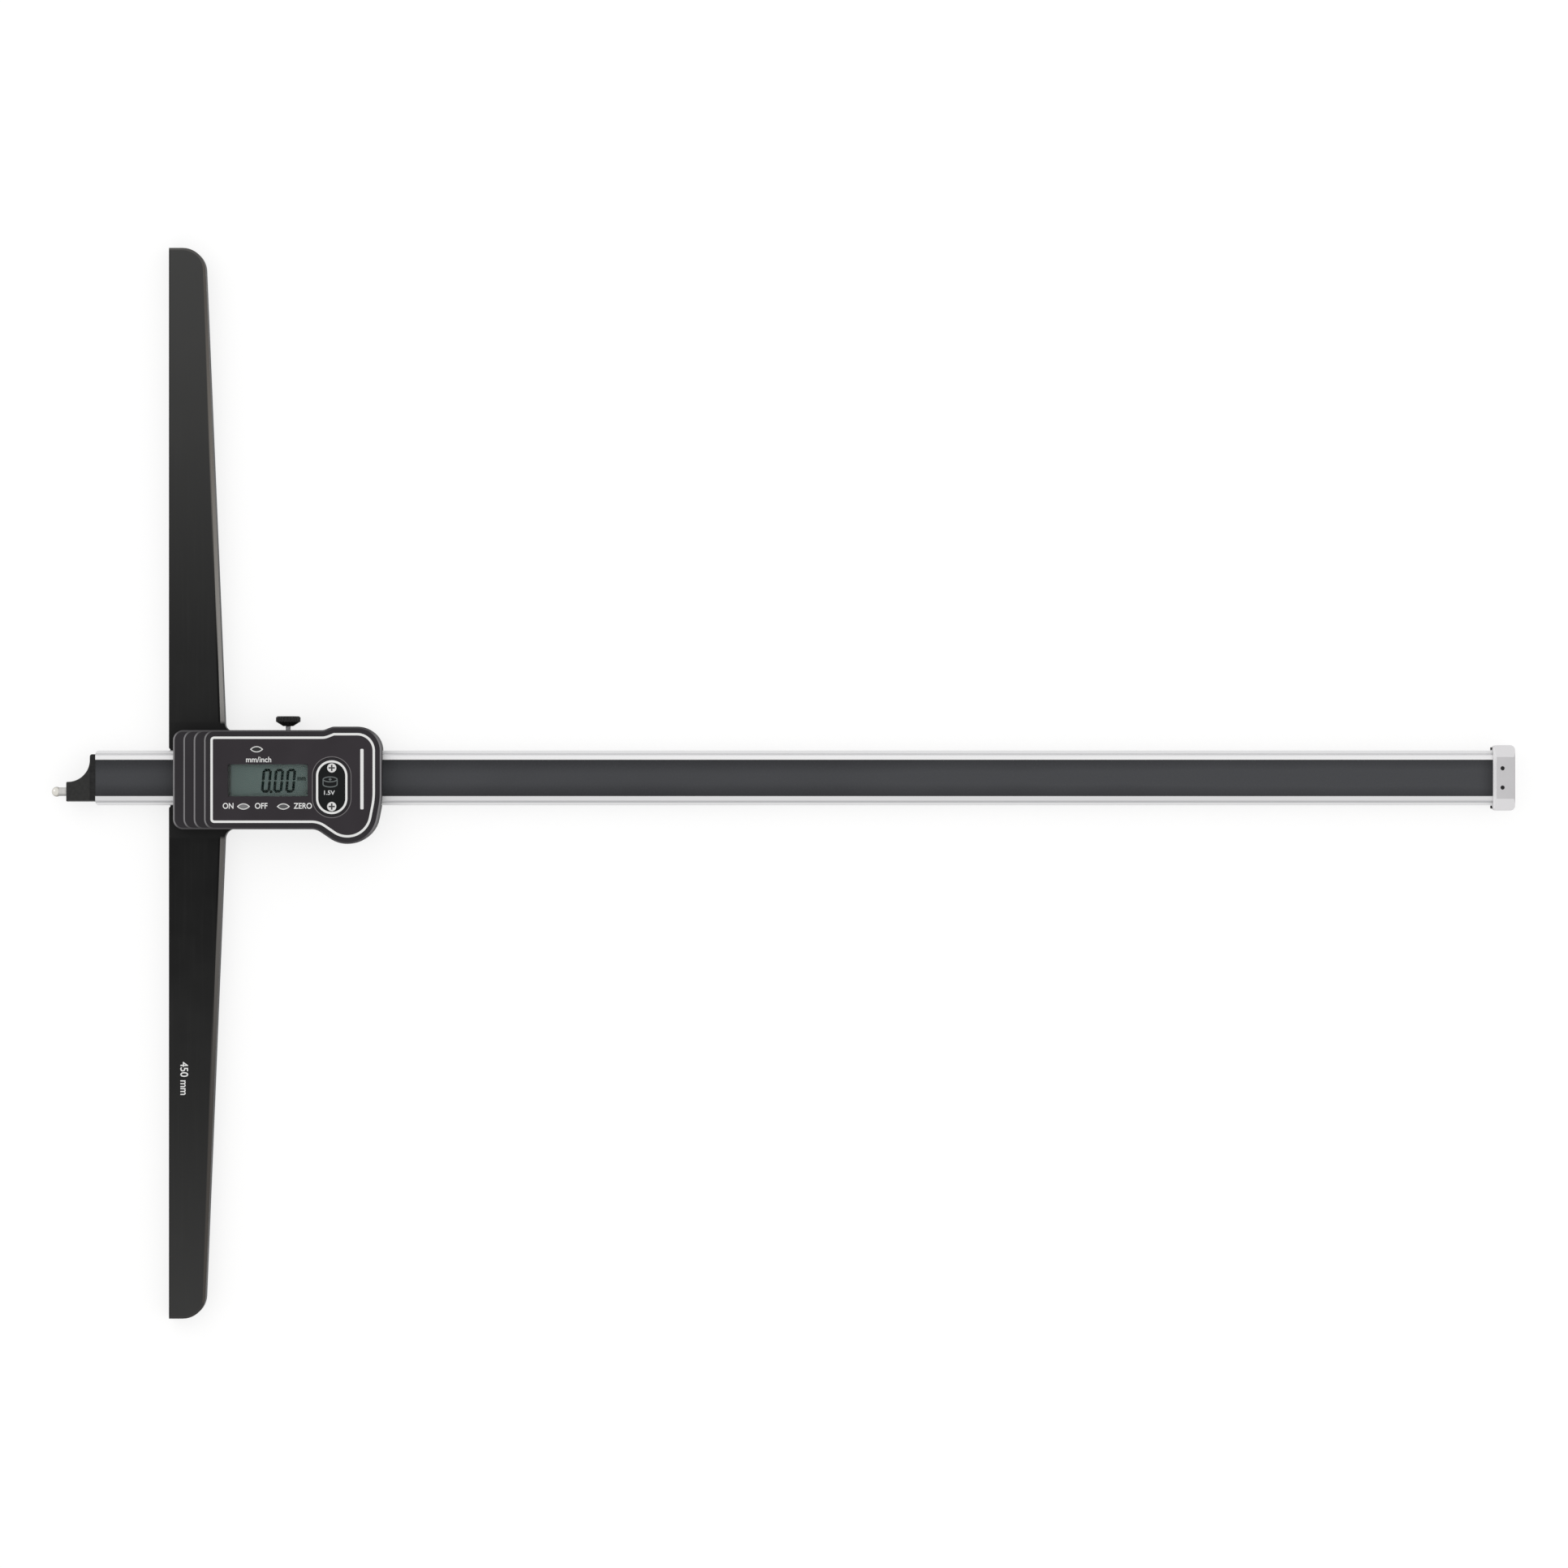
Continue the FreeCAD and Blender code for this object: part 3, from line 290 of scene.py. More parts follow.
def anodisedBeam():
    finish = Finish("anodisedBeam")
    streaks = finish.noise(1500.0, (0.006, 1.0, 1.0), detail=4.0, roughness=0.6)
    cloud = finish.noise(16.0, (0.4, 1.0, 1.0), detail=2.0)
    outward = finish.along("Y").size() * inMm
    # painted light: the +Y half of the beam's land and step line is coloured lighter than the -Y half
    upperSideLit = finish.along("Y").step(-0.004, 0.004)
    land = finish.mix(streaks * 0.35 + cloud * 0.2 + upperSideLit * 0.45, beamLook["soft"], beamLook["bright"])
    rim = outward.step(8.7, 9.0)
    upward = finish.facing(0.0, 0.0, 1.0).step(0.2, 0.6)
    # painted shade: a darker line along the step between the upper block and the lower land
    line = (1.0 - (outward - beamLook["stepAt"]).size().step(0.1, 0.75)) * upward
    stepped = finish.mix(upperSideLit, beamLook["stepLow"], beamLook["stepHigh"])
    coloured = finish.mix(line, finish.mix(rim, land, beamLook["edge"]), stepped)
    finish.set(Base_Color=coloured, Metallic=0.75 - rim * 0.45, Roughness=0.30 + streaks * 0.12,
               Normal=finish.bump(streaks, 0.000008, 0.35))
    return finish


filmLook = {"edge": (0.023, 0.0235, 0.026), "middle": (0.056, 0.0575, 0.062),
            "speck": (0.11, 0.11, 0.125), "border": (0.012, 0.012, 0.013), "half": 6.8,
            "capEnd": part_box("scale_cover_film")[1].x}


def matteFilm():
    finish = Finish("matteFilm")
    outward = finish.along("Y").size() * (inMm / filmLook["half"])
    # painted sheen: lighter along the middle of the strip, fading to the darker edge colour at both sides
    middle = 1.0 - outward.step(0.15, 1.0)
    grain = finish.noise(1400.0, detail=5.0, roughness=0.7)
    cloud = finish.noise(60.0, (0.5, 1.0, 1.0), detail=3.0)
    towardsCap = finish.along("X").step(0.1, 0.6)
    base = finish.mix(middle * 0.7 + cloud * 0.4 + towardsCap * 0.4, filmLook["edge"], filmLook["middle"])
    speckled = finish.mix((grain - 0.45).largest(0.0) * 0.35, base, filmLook["speck"])
    # painted shadow: darker in the last millimetres before the end cap; it is laid in with the thin darker
    # line along the strip's outer edges
    capShadow = (finish.along("X") - filmLook["capEnd"]).step(-0.006, 0.001)
    border = outward.step(0.93, 0.99) + capShadow * 0.6
    finish.set(Base_Color=finish.mix(border * 0.7, speckled, filmLook["border"]),
               Roughness=0.5 + grain * 0.2, Normal=finish.bump(grain, 0.00002, 0.35),
               Specular_IOR_Level=0.15)
    return finish


laminateLook = {"board": (0.02, 0.07, 0.035), "copper": (0.42, 0.24, 0.10), "scale": 63.0}


def scaleLaminate():
    finish = Finish("scaleLaminate")
    wave = finish.node("ShaderNodeTexWave", {"wave_type": "BANDS", "bands_direction": "X"},
                       Vector=finish.place, Scale=laminateLook["scale"], Distortion=0.0)
    bars = wave.part("Fac").step(0.4, 0.6)
    finish.set(Base_Color=finish.mix(bars, laminateLook["board"], laminateLook["copper"]),
               Metallic=bars * 0.8, Roughness=0.45)
    return finish


noseLook = {"body": (0.018, 0.018, 0.0175), "wearAndSheen": (0.06, 0.06, 0.058), "chamfer": (0.12, 0.12, 0.12),
            "flange": (0.006, 0.006, 0.0065), "flangeDepth": 2.1 * mm}


def blackNose():
    finish = Finish("blackNose")
    grain = finish.noise(900.0, detail=4.0)
    # painted highlight: the chamfers facing -Y and up are lighter
    lowEdge = finish.facing(0.0, -diagonal, diagonal).step(0.85, 0.95)
    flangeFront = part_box("beam_extrusion")[0].x - noseLook["flangeDepth"]
    flange = (finish.along("X") - flangeFront).step(-0.00008, 0.00008)
    block = finish.mix(flange, noseLook["body"], noseLook["flange"])
    body = finish.mix((grain - 0.35) * 0.5, block, noseLook["wearAndSheen"])
    finish.set(Base_Color=finish.mix(lowEdge, body, noseLook["chamfer"]), Roughness=0.42 + grain * 0.16,
               Normal=finish.bump(grain, 0.00002, 0.3), Specular_IOR_Level=0.2)
    return finish


ballLook = {"rim": (0.17, 0.16, 0.14), "face": (0.72, 0.70, 0.65), "glint": (0.98, 0.97, 0.94)}


def polishedBall():
    # painted shade darkens it towards its outline, and a painted glint (highlight) sits up and to the left of
    # its middle
    finish = Finish("polishedBall")
    haze = finish.noise(900.0, detail=2.0)
    face = finish.mix(finish.facing(-0.25, 0.1, 0.96).step(0.1, 0.85), ballLook["rim"], ballLook["face"])
    glint = finish.facing(-0.42, 0.25, 0.87).step(0.965, 0.99)
    finish.set(Base_Color=finish.mix(glint, face, ballLook["glint"]), Metallic=0.85,
               Roughness=0.12 + haze * 0.1)
    return finish


shankLook = {"side": (0.22, 0.22, 0.215), "top": (0.66, 0.65, 0.63)}


def turnedShank():
    finish = Finish("turnedShank")
    rings = finish.noise(2500.0, (1.0, 0.02, 0.02), detail=2.0)
    # painted light: lighter where it faces up, darker on its flanks
    lit = finish.facing(0.0, 0.25, 0.97).step(0.15, 0.95)
    face = finish.mix(lit, shankLook["side"], shankLook["top"])
    finish.set(Base_Color=finish.mix(rings * 0.3, face, shankLook["side"]), Metallic=0.85,
               Roughness=0.25 + rings * 0.15, Normal=finish.bump(rings, 0.00001, 0.3))
    return finish


def lappedSteel(name, colour, low):
    finish = Finish(name)
    haze = finish.noise(700.0, detail=2.0)
    dulled = tuple(channel * 0.86 for channel in colour)
    finish.set(Base_Color=finish.mix(haze, colour, dulled), Metallic=1.0, Roughness=low + haze * 0.06)
    return finish


screwLook = {"bright": (0.80, 0.80, 0.79), "rim": (0.30, 0.30, 0.30), "slot": (0.045, 0.045, 0.045),
             "slotDepth": (0.24 * mm, 0.30 * mm)}


def platedScrew():
    finish = Finish("platedScrew")
    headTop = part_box("battery_cover_screws")[1].z
    upward = finish.facing(0.0, 0.0, 1.0)
    # painted shade: the cross slot's floor and all walls are dark, and the dome darkens from its top towards
    # its rim
    sunk = (headTop - finish.along("Z")).step(*screwLook["slotDepth"])
    recess = sunk * upward.step(0.98, 0.995)
    wall = 1.0 - upward.step(0.0, 0.15)
    haze = finish.noise(1500.0, detail=3.0)
    domeShade = finish.mix(upward.step(0.45, 1.0), screwLook["rim"], screwLook["bright"])
    hazed = finish.mix(haze * 0.4, domeShade, screwLook["rim"])
    finish.set(Base_Color=finish.mix(recess.largest(wall), hazed, screwLook["slot"]),
               Metallic=0.75 - recess * 0.7, Roughness=0.25 + haze * 0.15)
    return finish


capLook = {"flat": (0.60, 0.59, 0.60), "shade": (0.50, 0.49, 0.50), "bevel": (0.71, 0.70, 0.71),
           "frontEdge": (0.85, 0.84, 0.85), "backEdge": (0.50, 0.49, 0.50), "side": (0.74, 0.73, 0.74)}


def satinCap():
    finish = Finish("satinCap")
    grain = finish.noise(2600.0, detail=4.0, roughness=0.65)
    cloud = finish.noise(120.0, detail=2.0)
    flat = finish.mix(cloud * 0.6 + grain * 0.4, capLook["shade"], capLook["flat"])
    # painted sheen: the bevels and upright sides are lighter than the flat top; the front chamfer carries a
    # painted highlight, the back chamfer painted shade
    sloped = finish.facing(0.0, 0.0, 1.0)
    bevel = (1.0 - sloped.step(0.985, 0.998)) * sloped.step(0.9, 0.95)
    edge = (1.0 - sloped.step(0.8, 0.9)) * sloped.step(0.5, 0.6)
    frontwards = finish.facing(-1.0, 0.0, 0.0).step(-0.2, 0.2)
    edgeTone = finish.mix(frontwards, capLook["backEdge"], capLook["frontEdge"])
    upright = 1.0 - sloped.size().step(0.1, 0.4)
    body = finish.mix(upright, finish.mix(bevel, flat, capLook["bevel"]), capLook["side"])
    coloured = finish.mix(edge, body, edgeTone)
    finish.set(Base_Color=coloured, Metallic=0.55, Roughness=0.42 + grain * 0.16,
               Normal=finish.bump(grain, 0.000015, 0.4))
    return finish


rubberLook = {"low": (0.012, 0.012, 0.012), "high": (0.03, 0.03, 0.03)}


def mouldedRubber():
    finish = Finish("mouldedRubber")
    grain = finish.noise(2400.0)
    finish.set(Base_Color=finish.mix(grain, rubberLook["low"], rubberLook["high"]), Roughness=0.8,
               Normal=finish.bump(grain, 0.00003, 0.5))
    return finish


# slider

housingLook = {"body": (0.014, 0.0125, 0.0145), "shine": (0.030, 0.027, 0.031), "edge": (0.225, 0.218, 0.225)}


def charcoalPlastic():
    finish = Finish("charcoalPlastic")
    spark = finish.noise(2600.0, detail=5.0, roughness=0.7)
    cloud = finish.noise(90.0, detail=2.0)
    body = finish.mix(cloud * 0.6 + spark * 0.4, housingLook["body"], housingLook["shine"])
    # painted highlight: chamfers are lighter, most where they face left or right
    slope = finish.facing(0.0, 0.0, 1.0)
    edge = (1.0 - slope.step(0.85, 0.95)) * slope.step(0.5, 0.6)
    leftOrRight = finish.facing(1.0, 0.0, 0.0).size().step(0.35, 0.7)
    strength = edge * (0.25 + leftOrRight * 0.75)
    finish.set(Base_Color=finish.mix(strength, body, housingLook["edge"]), Roughness=0.46 + spark * 0.18,
               Normal=finish.bump(spark, 0.00003, 0.45), Specular_IOR_Level=0.18)
    return finish


panelLook = {"low": (0.021, 0.0175, 0.0205), "high": (0.036, 0.031, 0.036)}


def overlayFilm():
    finish = Finish("overlayFilm")
    grain = finish.noise(3200.0, detail=3.0, roughness=0.6)
    cloud = finish.noise(70.0, detail=2.0)
    base = finish.mix(cloud * 0.7 + grain * 0.3, panelLook["low"], panelLook["high"])
    finish.set(Base_Color=base, Roughness=0.5 + grain * 0.12, Normal=finish.bump(grain, 0.00001, 0.3),
               Specular_IOR_Level=0.15)
    return finish


def printedInk(name, colour, shade, gloss=0.3):
    finish = Finish(name)
    grain = finish.noise(3000.0)
    finish.set(Base_Color=finish.mix(grain, shade, colour), Roughness=0.5 + grain * 0.2,
               Specular_IOR_Level=gloss)
    return finish


displayLook = {"deep": (0.071, 0.091, 0.089), "bright": (0.122, 0.164, 0.156),
               "margin": (0.040, 0.043, 0.043), "left": 22.7, "width": 29.7, "brightAt": 0.3}


def displayGreen():
    finish = Finish("displayGreen")
    # from 0 at the display's left end to 1 at its right
    along = (finish.along("X") * inMm - displayLook["left"]) / displayLook["width"]
    grain = finish.noise(1600.0)
    light = 0.5 + grain * 0.2 + along * 0.1 - (along - displayLook["brightAt"]).size() * 0.2
    green = finish.mix(light, displayLook["deep"], displayLook["bright"])
    finish.set(Base_Color=finish.mix(along.step(0.015, 0.055), displayLook["margin"], green),
               Roughness=0.35, Specular_IOR_Level=0.1)
    return finish


def clearWindow():
    finish = Finish("clearWindow")
    haze = finish.noise(400.0)
    finish.set(Base_Color=(0.96, 0.985, 0.97, 1.0), Roughness=0.01 + haze * 0.03, Transmission_Weight=1.0,
               IOR=1.18)
    return finish


boardLook = {"resist": (0.012, 0.10, 0.035), "track": (0.03, 0.19, 0.07), "scale": 260.0}


def solderResist():
    finish = Finish("solderResist")
    tracks = finish.node("ShaderNodeTexBrick", {}, Vector=finish.place, Scale=boardLook["scale"]).part("Fac")
    finish.set(Base_Color=finish.mix(tracks, boardLook["resist"], boardLook["track"]), Roughness=0.35)
    return finish


def mouldedBlack(name, low, high, roughness, gloss=0.3):
    finish = Finish(name)
    grain = finish.noise(2200.0, detail=4.0)
    finish.set(Base_Color=finish.mix(grain, low, high), Roughness=roughness + grain * 0.1,
               Normal=finish.bump(grain, 0.00001, 0.3), Specular_IOR_Level=gloss)
    return finish


def keyPlastic(name, colour, shade):
    finish = Finish(name)
    grain = finish.noise(2800.0)
    finish.set(Base_Color=finish.mix(grain, shade, colour), Roughness=0.45 + grain * 0.1,
               Normal=finish.bump(grain, 0.00001, 0.3), Specular_IOR_Level=0.25)
    return finish


finishes = {
    "base": blackenedSteel(), "rail": groundSteel("railSteel", (0.02, 1.0, 1.0)),
    "screw": groundSteel("screwSteel", (1.0, 0.6, 1.0)), "blackScrew": blackScrew(),
    "gib": castBrass("gibBronze", (0.60, 0.42, 0.20), (0.42, 0.28, 0.12)),
    "shoe": castBrass("shoeBrass", (0.75, 0.56, 0.24), (0.55, 0.38, 0.14)),
    "stud": groundSteel("studSteel", (1.0, 0.1, 1.0)), "beam": anodisedBeam(), "film": matteFilm(),
    "laminate": scaleLaminate(), "nose": blackNose(),
    "shank": turnedShank(), "ball": polishedBall(), "cap": satinCap(), "rubber": mouldedRubber(),
    "housing": charcoalPlastic(), "panel": overlayFilm(),
    "white": printedInk("whiteInk", (0.81, 0.81, 0.80), (0.74, 0.74, 0.73)),
    "frame": printedInk("whiteCarrier", (0.80, 0.80, 0.78), (0.7, 0.7, 0.68)), "display": displayGreen(),
    "window": clearWindow(), "board": solderResist(),
    "chip": mouldedBlack("chipPlastic", (0.012, 0.012, 0.012), (0.02, 0.02, 0.02), 0.3),
    "switch": mouldedBlack("switchPlastic", (0.03, 0.03, 0.03), (0.06, 0.06, 0.06), 0.35),
    "cover": mouldedBlack("coverPlastic", (0.0042, 0.005, 0.0052), (0.009, 0.010, 0.0102), 0.3, 0.1),
    "knob": mouldedBlack("knobBlack", (0.009, 0.009, 0.009), (0.033, 0.032, 0.032), 0.38, 0.2),
    "cell": lappedSteel("cellNickel", (0.72, 0.72, 0.71), 0.16),
    "spring": lappedSteel("springStrip", (0.74, 0.70, 0.55), 0.2),
    "coverScrew": platedScrew(),
    "greyKey": keyPlastic("greyKey", (0.20, 0.20, 0.203), (0.155, 0.155, 0.158)),
    "midKey": keyPlastic("midKey", (0.105, 0.105, 0.107), (0.08, 0.08, 0.082)),
    "darkKey": keyPlastic("darkKey", (0.022, 0.022, 0.023), (0.015, 0.015, 0.016)),
    "greyInk": printedInk("greyInk", (0.15, 0.17, 0.17), (0.11, 0.125, 0.125)),
    "softWhite": printedInk("softWhiteInk", (0.66, 0.67, 0.67), (0.56, 0.57, 0.57)),
    # a painted highlight colour for the strip round the battery recess
    "recessHighlight": printedInk("recessHighlight", (0.17, 0.16, 0.165), (0.12, 0.11, 0.115)),
    "segment": printedInk("segmentInk", (0.001, 0.0055, 0.005), (0.003, 0.009, 0.008), 0.0),
}

nodeFinish = {
    "base_bridge": "base", "guide_rails": "rail", "guide_rail_screws": "screw", "gib_strip": "gib",
    "gib_screws": "blackScrew", "clamp_shoe": "shoe", "clamp_stud": "stud", "clamp_knob": "knob",
    "beam_extrusion": "beam", "scale_strip": "laminate", "scale_cover_film": "film", "nose_block": "nose",
    "nose_block_screws": "blackScrew", "contact_point": "shank", "contact_ball": "ball", "end_cap": "cap",
    "end_cap_screws": "blackScrew", "stop_bumpers": "rubber", "housing_cover": "housing",
    "housing_screws": "blackScrew", "front_panel": "panel", "display_window": "window",
    "display_glass": "display", "display_frame": "frame", "display_connectors": "rubber",
    "circuit_board": "board", "board_screws": "screw",
    "controller_chip": "chip", "tact_switches": "switch", "button_cell": "cell",
    "battery_contact_negative": "spring", "battery_contact_positive": "spring", "battery_cover": "cover",
    "battery_cover_screws": "coverScrew", "button_mm_inch": "darkKey", "button_on_off": "greyKey",
    "button_zero": "midKey",
}
for nodeName, finishName in nodeFinish.items():
    paint(nodeName, finishes[finishName])
print("finishes made")


# pieces that the solids leave to this script

def addPiece(name, mesh, finish, body):
    for polygon in mesh.polygons:
        polygon.material_index = 0
    mesh.materials.clear()
    mesh.materials.append(finishes[finish].material)
    piece = bpy.data.objects.new(name, mesh)
    scene.collection.objects.link(piece)
    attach(piece, body)
    return piece


def finishMesh(name, bm):
    bmesh.ops.recalc_face_normals(bm, faces=bm.faces[:])
    mesh = bpy.data.meshes.new(name)
    bm.to_mesh(mesh)
    bm.free()
    return mesh


def topBorders(node):
    # the borders of a solid's top face, each as a ring of points, largest first
    source = bmesh.new()
    source.from_mesh(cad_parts[node].data)
    bmesh.ops.remove_doubles(source, verts=source.verts[:], dist=weld)
    top = max(vertex.co.z for vertex in source.verts)
    below = [face for face in source.faces if any(vertex.co.z < top - 10 * weld for vertex in face.verts)]
    bmesh.ops.delete(source, geom=below, context="FACES")
    edges = [edge for edge in source.edges if len(edge.link_faces) == 1]
    loops = []
    while edges:
        loop = [edges.pop()]
        ends = set(loop[0].verts)
        grown = True
        while grown:
            grown = [edge for edge in edges if ends & set(edge.verts)]
            for edge in grown:
                edges.remove(edge)
                loop.append(edge)
                ends |= set(edge.verts)
        loops.append(loop)
    bordered = []
    for loop in loops:
        start = loop[0]
        points = [start.verts[0].co.copy(), start.verts[1].co.copy()]
        seen, tip = {start}, start.verts[1]
        while True:
            onward = [edge for edge in loop if edge not in seen and tip in edge.verts]
            if not onward:
                break
            seen.add(onward[0])
            tip = onward[0].other_vert(tip)
            points.append(tip.co.copy())
        bordered.append(points[:-1])
    source.free()

    def extent(points):
        xs = [point.x for point in points]
        ys = [point.y for point in points]
        return (max(xs) - min(xs)) * (max(ys) - min(ys))

    return sorted(bordered, key=extent, reverse=True)


def band(name, points, look, outward, finish):
    # a printed line, or a painted highlight strip, that follows a border, inside or outside it
    bm = bmesh.new()
    level = Vector((0.0, 0.0, look["lift"]))
    face = bm.faces.new([bm.verts.new(point + level) for point in points])
    face.normal_update()
    if face.normal.z < 0:
        face.normal_flip()
    bmesh.ops.dissolve_limit(bm, angle_limit=math.radians(0.05), verts=bm.verts[:], edges=bm.edges[:])
    width = -look["width"] if outward else look["width"]
    ring = bmesh.ops.inset_region(bm, faces=bm.faces[:], thickness=width, use_even_offset=True,
                                  use_boundary=True)["faces"]
    bmesh.ops.delete(bm, geom=[face for face in bm.faces if face not in set(ring)], context="FACES")
    bmesh.ops.solidify(bm, geom=bm.faces[:], thickness=-look["height"])
    addPiece(name, finishMesh(name, bm), finish, "slider")


frameLine = {"width": 0.88 * mm, "height": 0.03 * mm, "lift": 0.005 * mm}
recessRimHighlight = {"width": 0.30 * mm, "height": 0.02 * mm, "lift": 0.005 * mm}
keyLine = {"width": 0.37 * mm, "height": 0.03 * mm, "lift": 0.005 * mm}
coverLine = {"width": 0.80 * mm, "height": 0.03 * mm, "lift": 0.005 * mm}

panelBorders = topBorders("front_panel")
band("frameLine", panelBorders[0], frameLine, False, "white")
# a painted highlight: a grey strip round the battery recess's edge
band("recessRimHighlight", panelBorders[2], recessRimHighlight, True, "recessHighlight")
for index, border in enumerate(panelBorders[3:]):
    band("keyLine" + str(index), border, keyLine, True, "white")
band("coverLine", topBorders("battery_cover")[0], coverLine, False, "white")
print("printed lines laid")


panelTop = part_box("front_panel")[1].z
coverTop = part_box("battery_cover")[1].z
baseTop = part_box("base_bridge")[1].z
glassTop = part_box("display_glass")[1].z
letterInk = {"height": 0.03 * mm, "lift": 0.005 * mm, "extrude": 0.01}


def label(name, look):
    # flat lettering of one cap height, thin as ink
    curve = bpy.data.curves.new(name, "FONT")
    curve.body = look["text"]
    curve.align_x = "CENTER"
    curve.align_y = "CENTER"
    curve.size = 1.0
    curve.offset = look["weight"]
    curve.extrude = letterInk["extrude"]
    holder = bpy.data.objects.new(name, curve)
    scene.collection.objects.link(holder)
    bpy.context.view_layer.update()
    mesh = bpy.data.meshes.new_from_object(holder.evaluated_get(bpy.context.evaluated_depsgraph_get()))
    bpy.data.objects.remove(holder)
    low = Vector(min(vertex.co[i] for vertex in mesh.vertices) for i in range(3))
    high = Vector(max(vertex.co[i] for vertex in mesh.vertices) for i in range(3))
    scale = look["height"] * mm / (high.y - low.y)
    x, y = look["centre"]
    middle = look.get("level", panelTop) + letterInk["lift"] + letterInk["height"] / 2
    thinned = letterInk["height"] / letterInk["extrude"] / 2
    mesh.transform(Matrix.Translation(-(low + high) / 2))
    mesh.transform(Matrix.Diagonal((scale * look["stretch"], scale, thinned, 1.0)))
    mesh.transform(Matrix.Rotation(look.get("turn", 0.0), 4, "Z"))
    mesh.transform(Matrix.Translation((x * mm, y * mm, middle)))
    addPiece(name, mesh, look.get("ink", "white"), "slider")


lettering = {
    "modeLabel": {"text": "mm/inch", "height": 2.1, "centre": (34.15, 6.85), "stretch": 0.95,
                  "weight": 0.010},
    "onLabel": {"text": "ON", "height": 2.2, "centre": (22.8, -10.4), "stretch": 0.87, "weight": 0.014},
    "offLabel": {"text": "OFF", "height": 2.2, "centre": (35.1, -10.4), "stretch": 0.90, "weight": 0.014},
    "zeroLabel": {"text": "ZERO", "height": 2.2, "centre": (50.6, -10.4), "stretch": 0.88,
                  "weight": 0.014},
    "rangeLabel": {"text": "450 mm", "height": 2.95, "centre": (5.75, -112.2), "stretch": 0.92,
                   "weight": 0.010, "level": baseTop, "turn": -math.pi / 2},
    "voltLabel": {"text": "1.5V", "height": 1.6, "centre": (60.5, -5.5), "stretch": 1.1, "weight": 0.02,
                  "level": coverTop, "ink": "softWhite"},
}
for labelName, look in lettering.items():
    label(labelName, look)
print("lettering laid")


gripBar = {"x": (72.0, 73.2), "y": (-11.7, 10.8), "corner": 0.3, "height": 0.03 * mm, "lift": 0.005 * mm}


def makeGripBar():
    bm = bmesh.new()
    bmesh.ops.create_grid(bm, x_segments=1, y_segments=1, size=0.5)
    width = (gripBar["x"][1] - gripBar["x"][0]) * mm
    length = (gripBar["y"][1] - gripBar["y"][0]) * mm
    bmesh.ops.scale(bm, vec=(width, length, 1.0), verts=bm.verts[:])
    bmesh.ops.bevel(bm, geom=bm.verts[:], offset=width * gripBar["corner"], segments=4, profile=0.5,
                    affect="VERTICES", material=-1)
    middle = (sum(gripBar["x"]) / 2 * mm, sum(gripBar["y"]) / 2 * mm, panelTop + gripBar["lift"])
    bmesh.ops.translate(bm, vec=middle, verts=bm.verts[:])
    bmesh.ops.solidify(bm, geom=bm.faces[:], thickness=-gripBar["height"])
    addPiece("gripBar", finishMesh("gripBar", bm), "white", "slider")


makeGripBar()

cellSign = {"centre": (60.75, -1.5), "wide": 5.6, "top": 2.2, "body": 1.9, "stroke": 0.36, "plus": 1.08,
            "height": 0.03 * mm, "lift": 0.005 * mm, "under": 0.004 * mm, "onLine": 0.001}


def ellipseLine(bm, look):
    # the drawn line of one ellipse, as a flat ring of faces
    made = bmesh.ops.create_circle(bm, cap_ends=True, segments=48, radius=look["wide"] / 2)["verts"]
    bmesh.ops.scale(bm, vec=(1.0, look["top"] / look["wide"], 1.0), verts=made)
    face = made[0].link_faces[0]
    ring = bmesh.ops.inset_region(bm, faces=[face], thickness=look["stroke"], use_even_offset=True,
                                  use_boundary=True)["faces"]
    bmesh.ops.delete(bm, geom=[face], context="FACES_ONLY")
    return ring


def makeCellSign():
    # a button cell drawn as its top, its body and a plus mark; the body's line lies a little lower,
    # so that no two faces share a plane where the lines cross
    bm = bmesh.new()
    high = cellSign["body"] / 2
    body = ellipseLine(bm, cellSign)
    parts = bm.verts[:] + bm.edges[:] + body
    bmesh.ops.bisect_plane(bm, geom=parts, dist=cellSign["onLine"], plane_co=(0.0, 0.0, 0.0),
                           plane_no=(0.0, 1.0, 0.0), clear_outer=True)
    ends = [edge for edge in bm.edges if all(abs(v.co.y) < cellSign["onLine"] for v in edge.verts)]
    bmesh.ops.translate(bm, vec=(0.0, -high, -cellSign["under"]), verts=bm.verts[:])
    drawn = bmesh.ops.extrude_edge_only(bm, edges=ends)["geom"]
    tips = [part for part in drawn if isinstance(part, bmesh.types.BMVert)]
    bmesh.ops.translate(bm, vec=(0.0, cellSign["body"], 0.0), verts=tips)
    top = ellipseLine(bm, cellSign)
    rim = list(dict.fromkeys(vertex for face in top for vertex in face.verts))
    plus = bmesh.ops.create_grid(bm, x_segments=3, y_segments=3, size=0.5)["verts"]
    bmesh.ops.scale(bm, vec=(cellSign["plus"], cellSign["plus"], 1.0), verts=plus)
    squares = dict.fromkeys(face for vertex in plus for face in vertex.link_faces)
    outer = [face for face in squares if min(map(abs, face.calc_center_median().xy)) > cellSign["plus"] / 4]
    bmesh.ops.translate(bm, vec=(0.0, high, 0.0), verts=rim + plus)
    bmesh.ops.delete(bm, geom=outer, context="FACES")  # the grid without its corners is the plus
    bmesh.ops.scale(bm, vec=(mm, mm, 1.0), verts=bm.verts[:])
    x, y = cellSign["centre"]
    bmesh.ops.translate(bm, vec=(x * mm, y * mm, coverTop + cellSign["lift"]), verts=bm.verts[:])
    bmesh.ops.recalc_face_normals(bm, faces=bm.faces[:])
    bmesh.ops.solidify(bm, geom=bm.faces[:], thickness=-cellSign["height"])
    addPiece("cellSign", finishMesh("cellSign", bm), "greyInk", "slider")


makeCellSign()

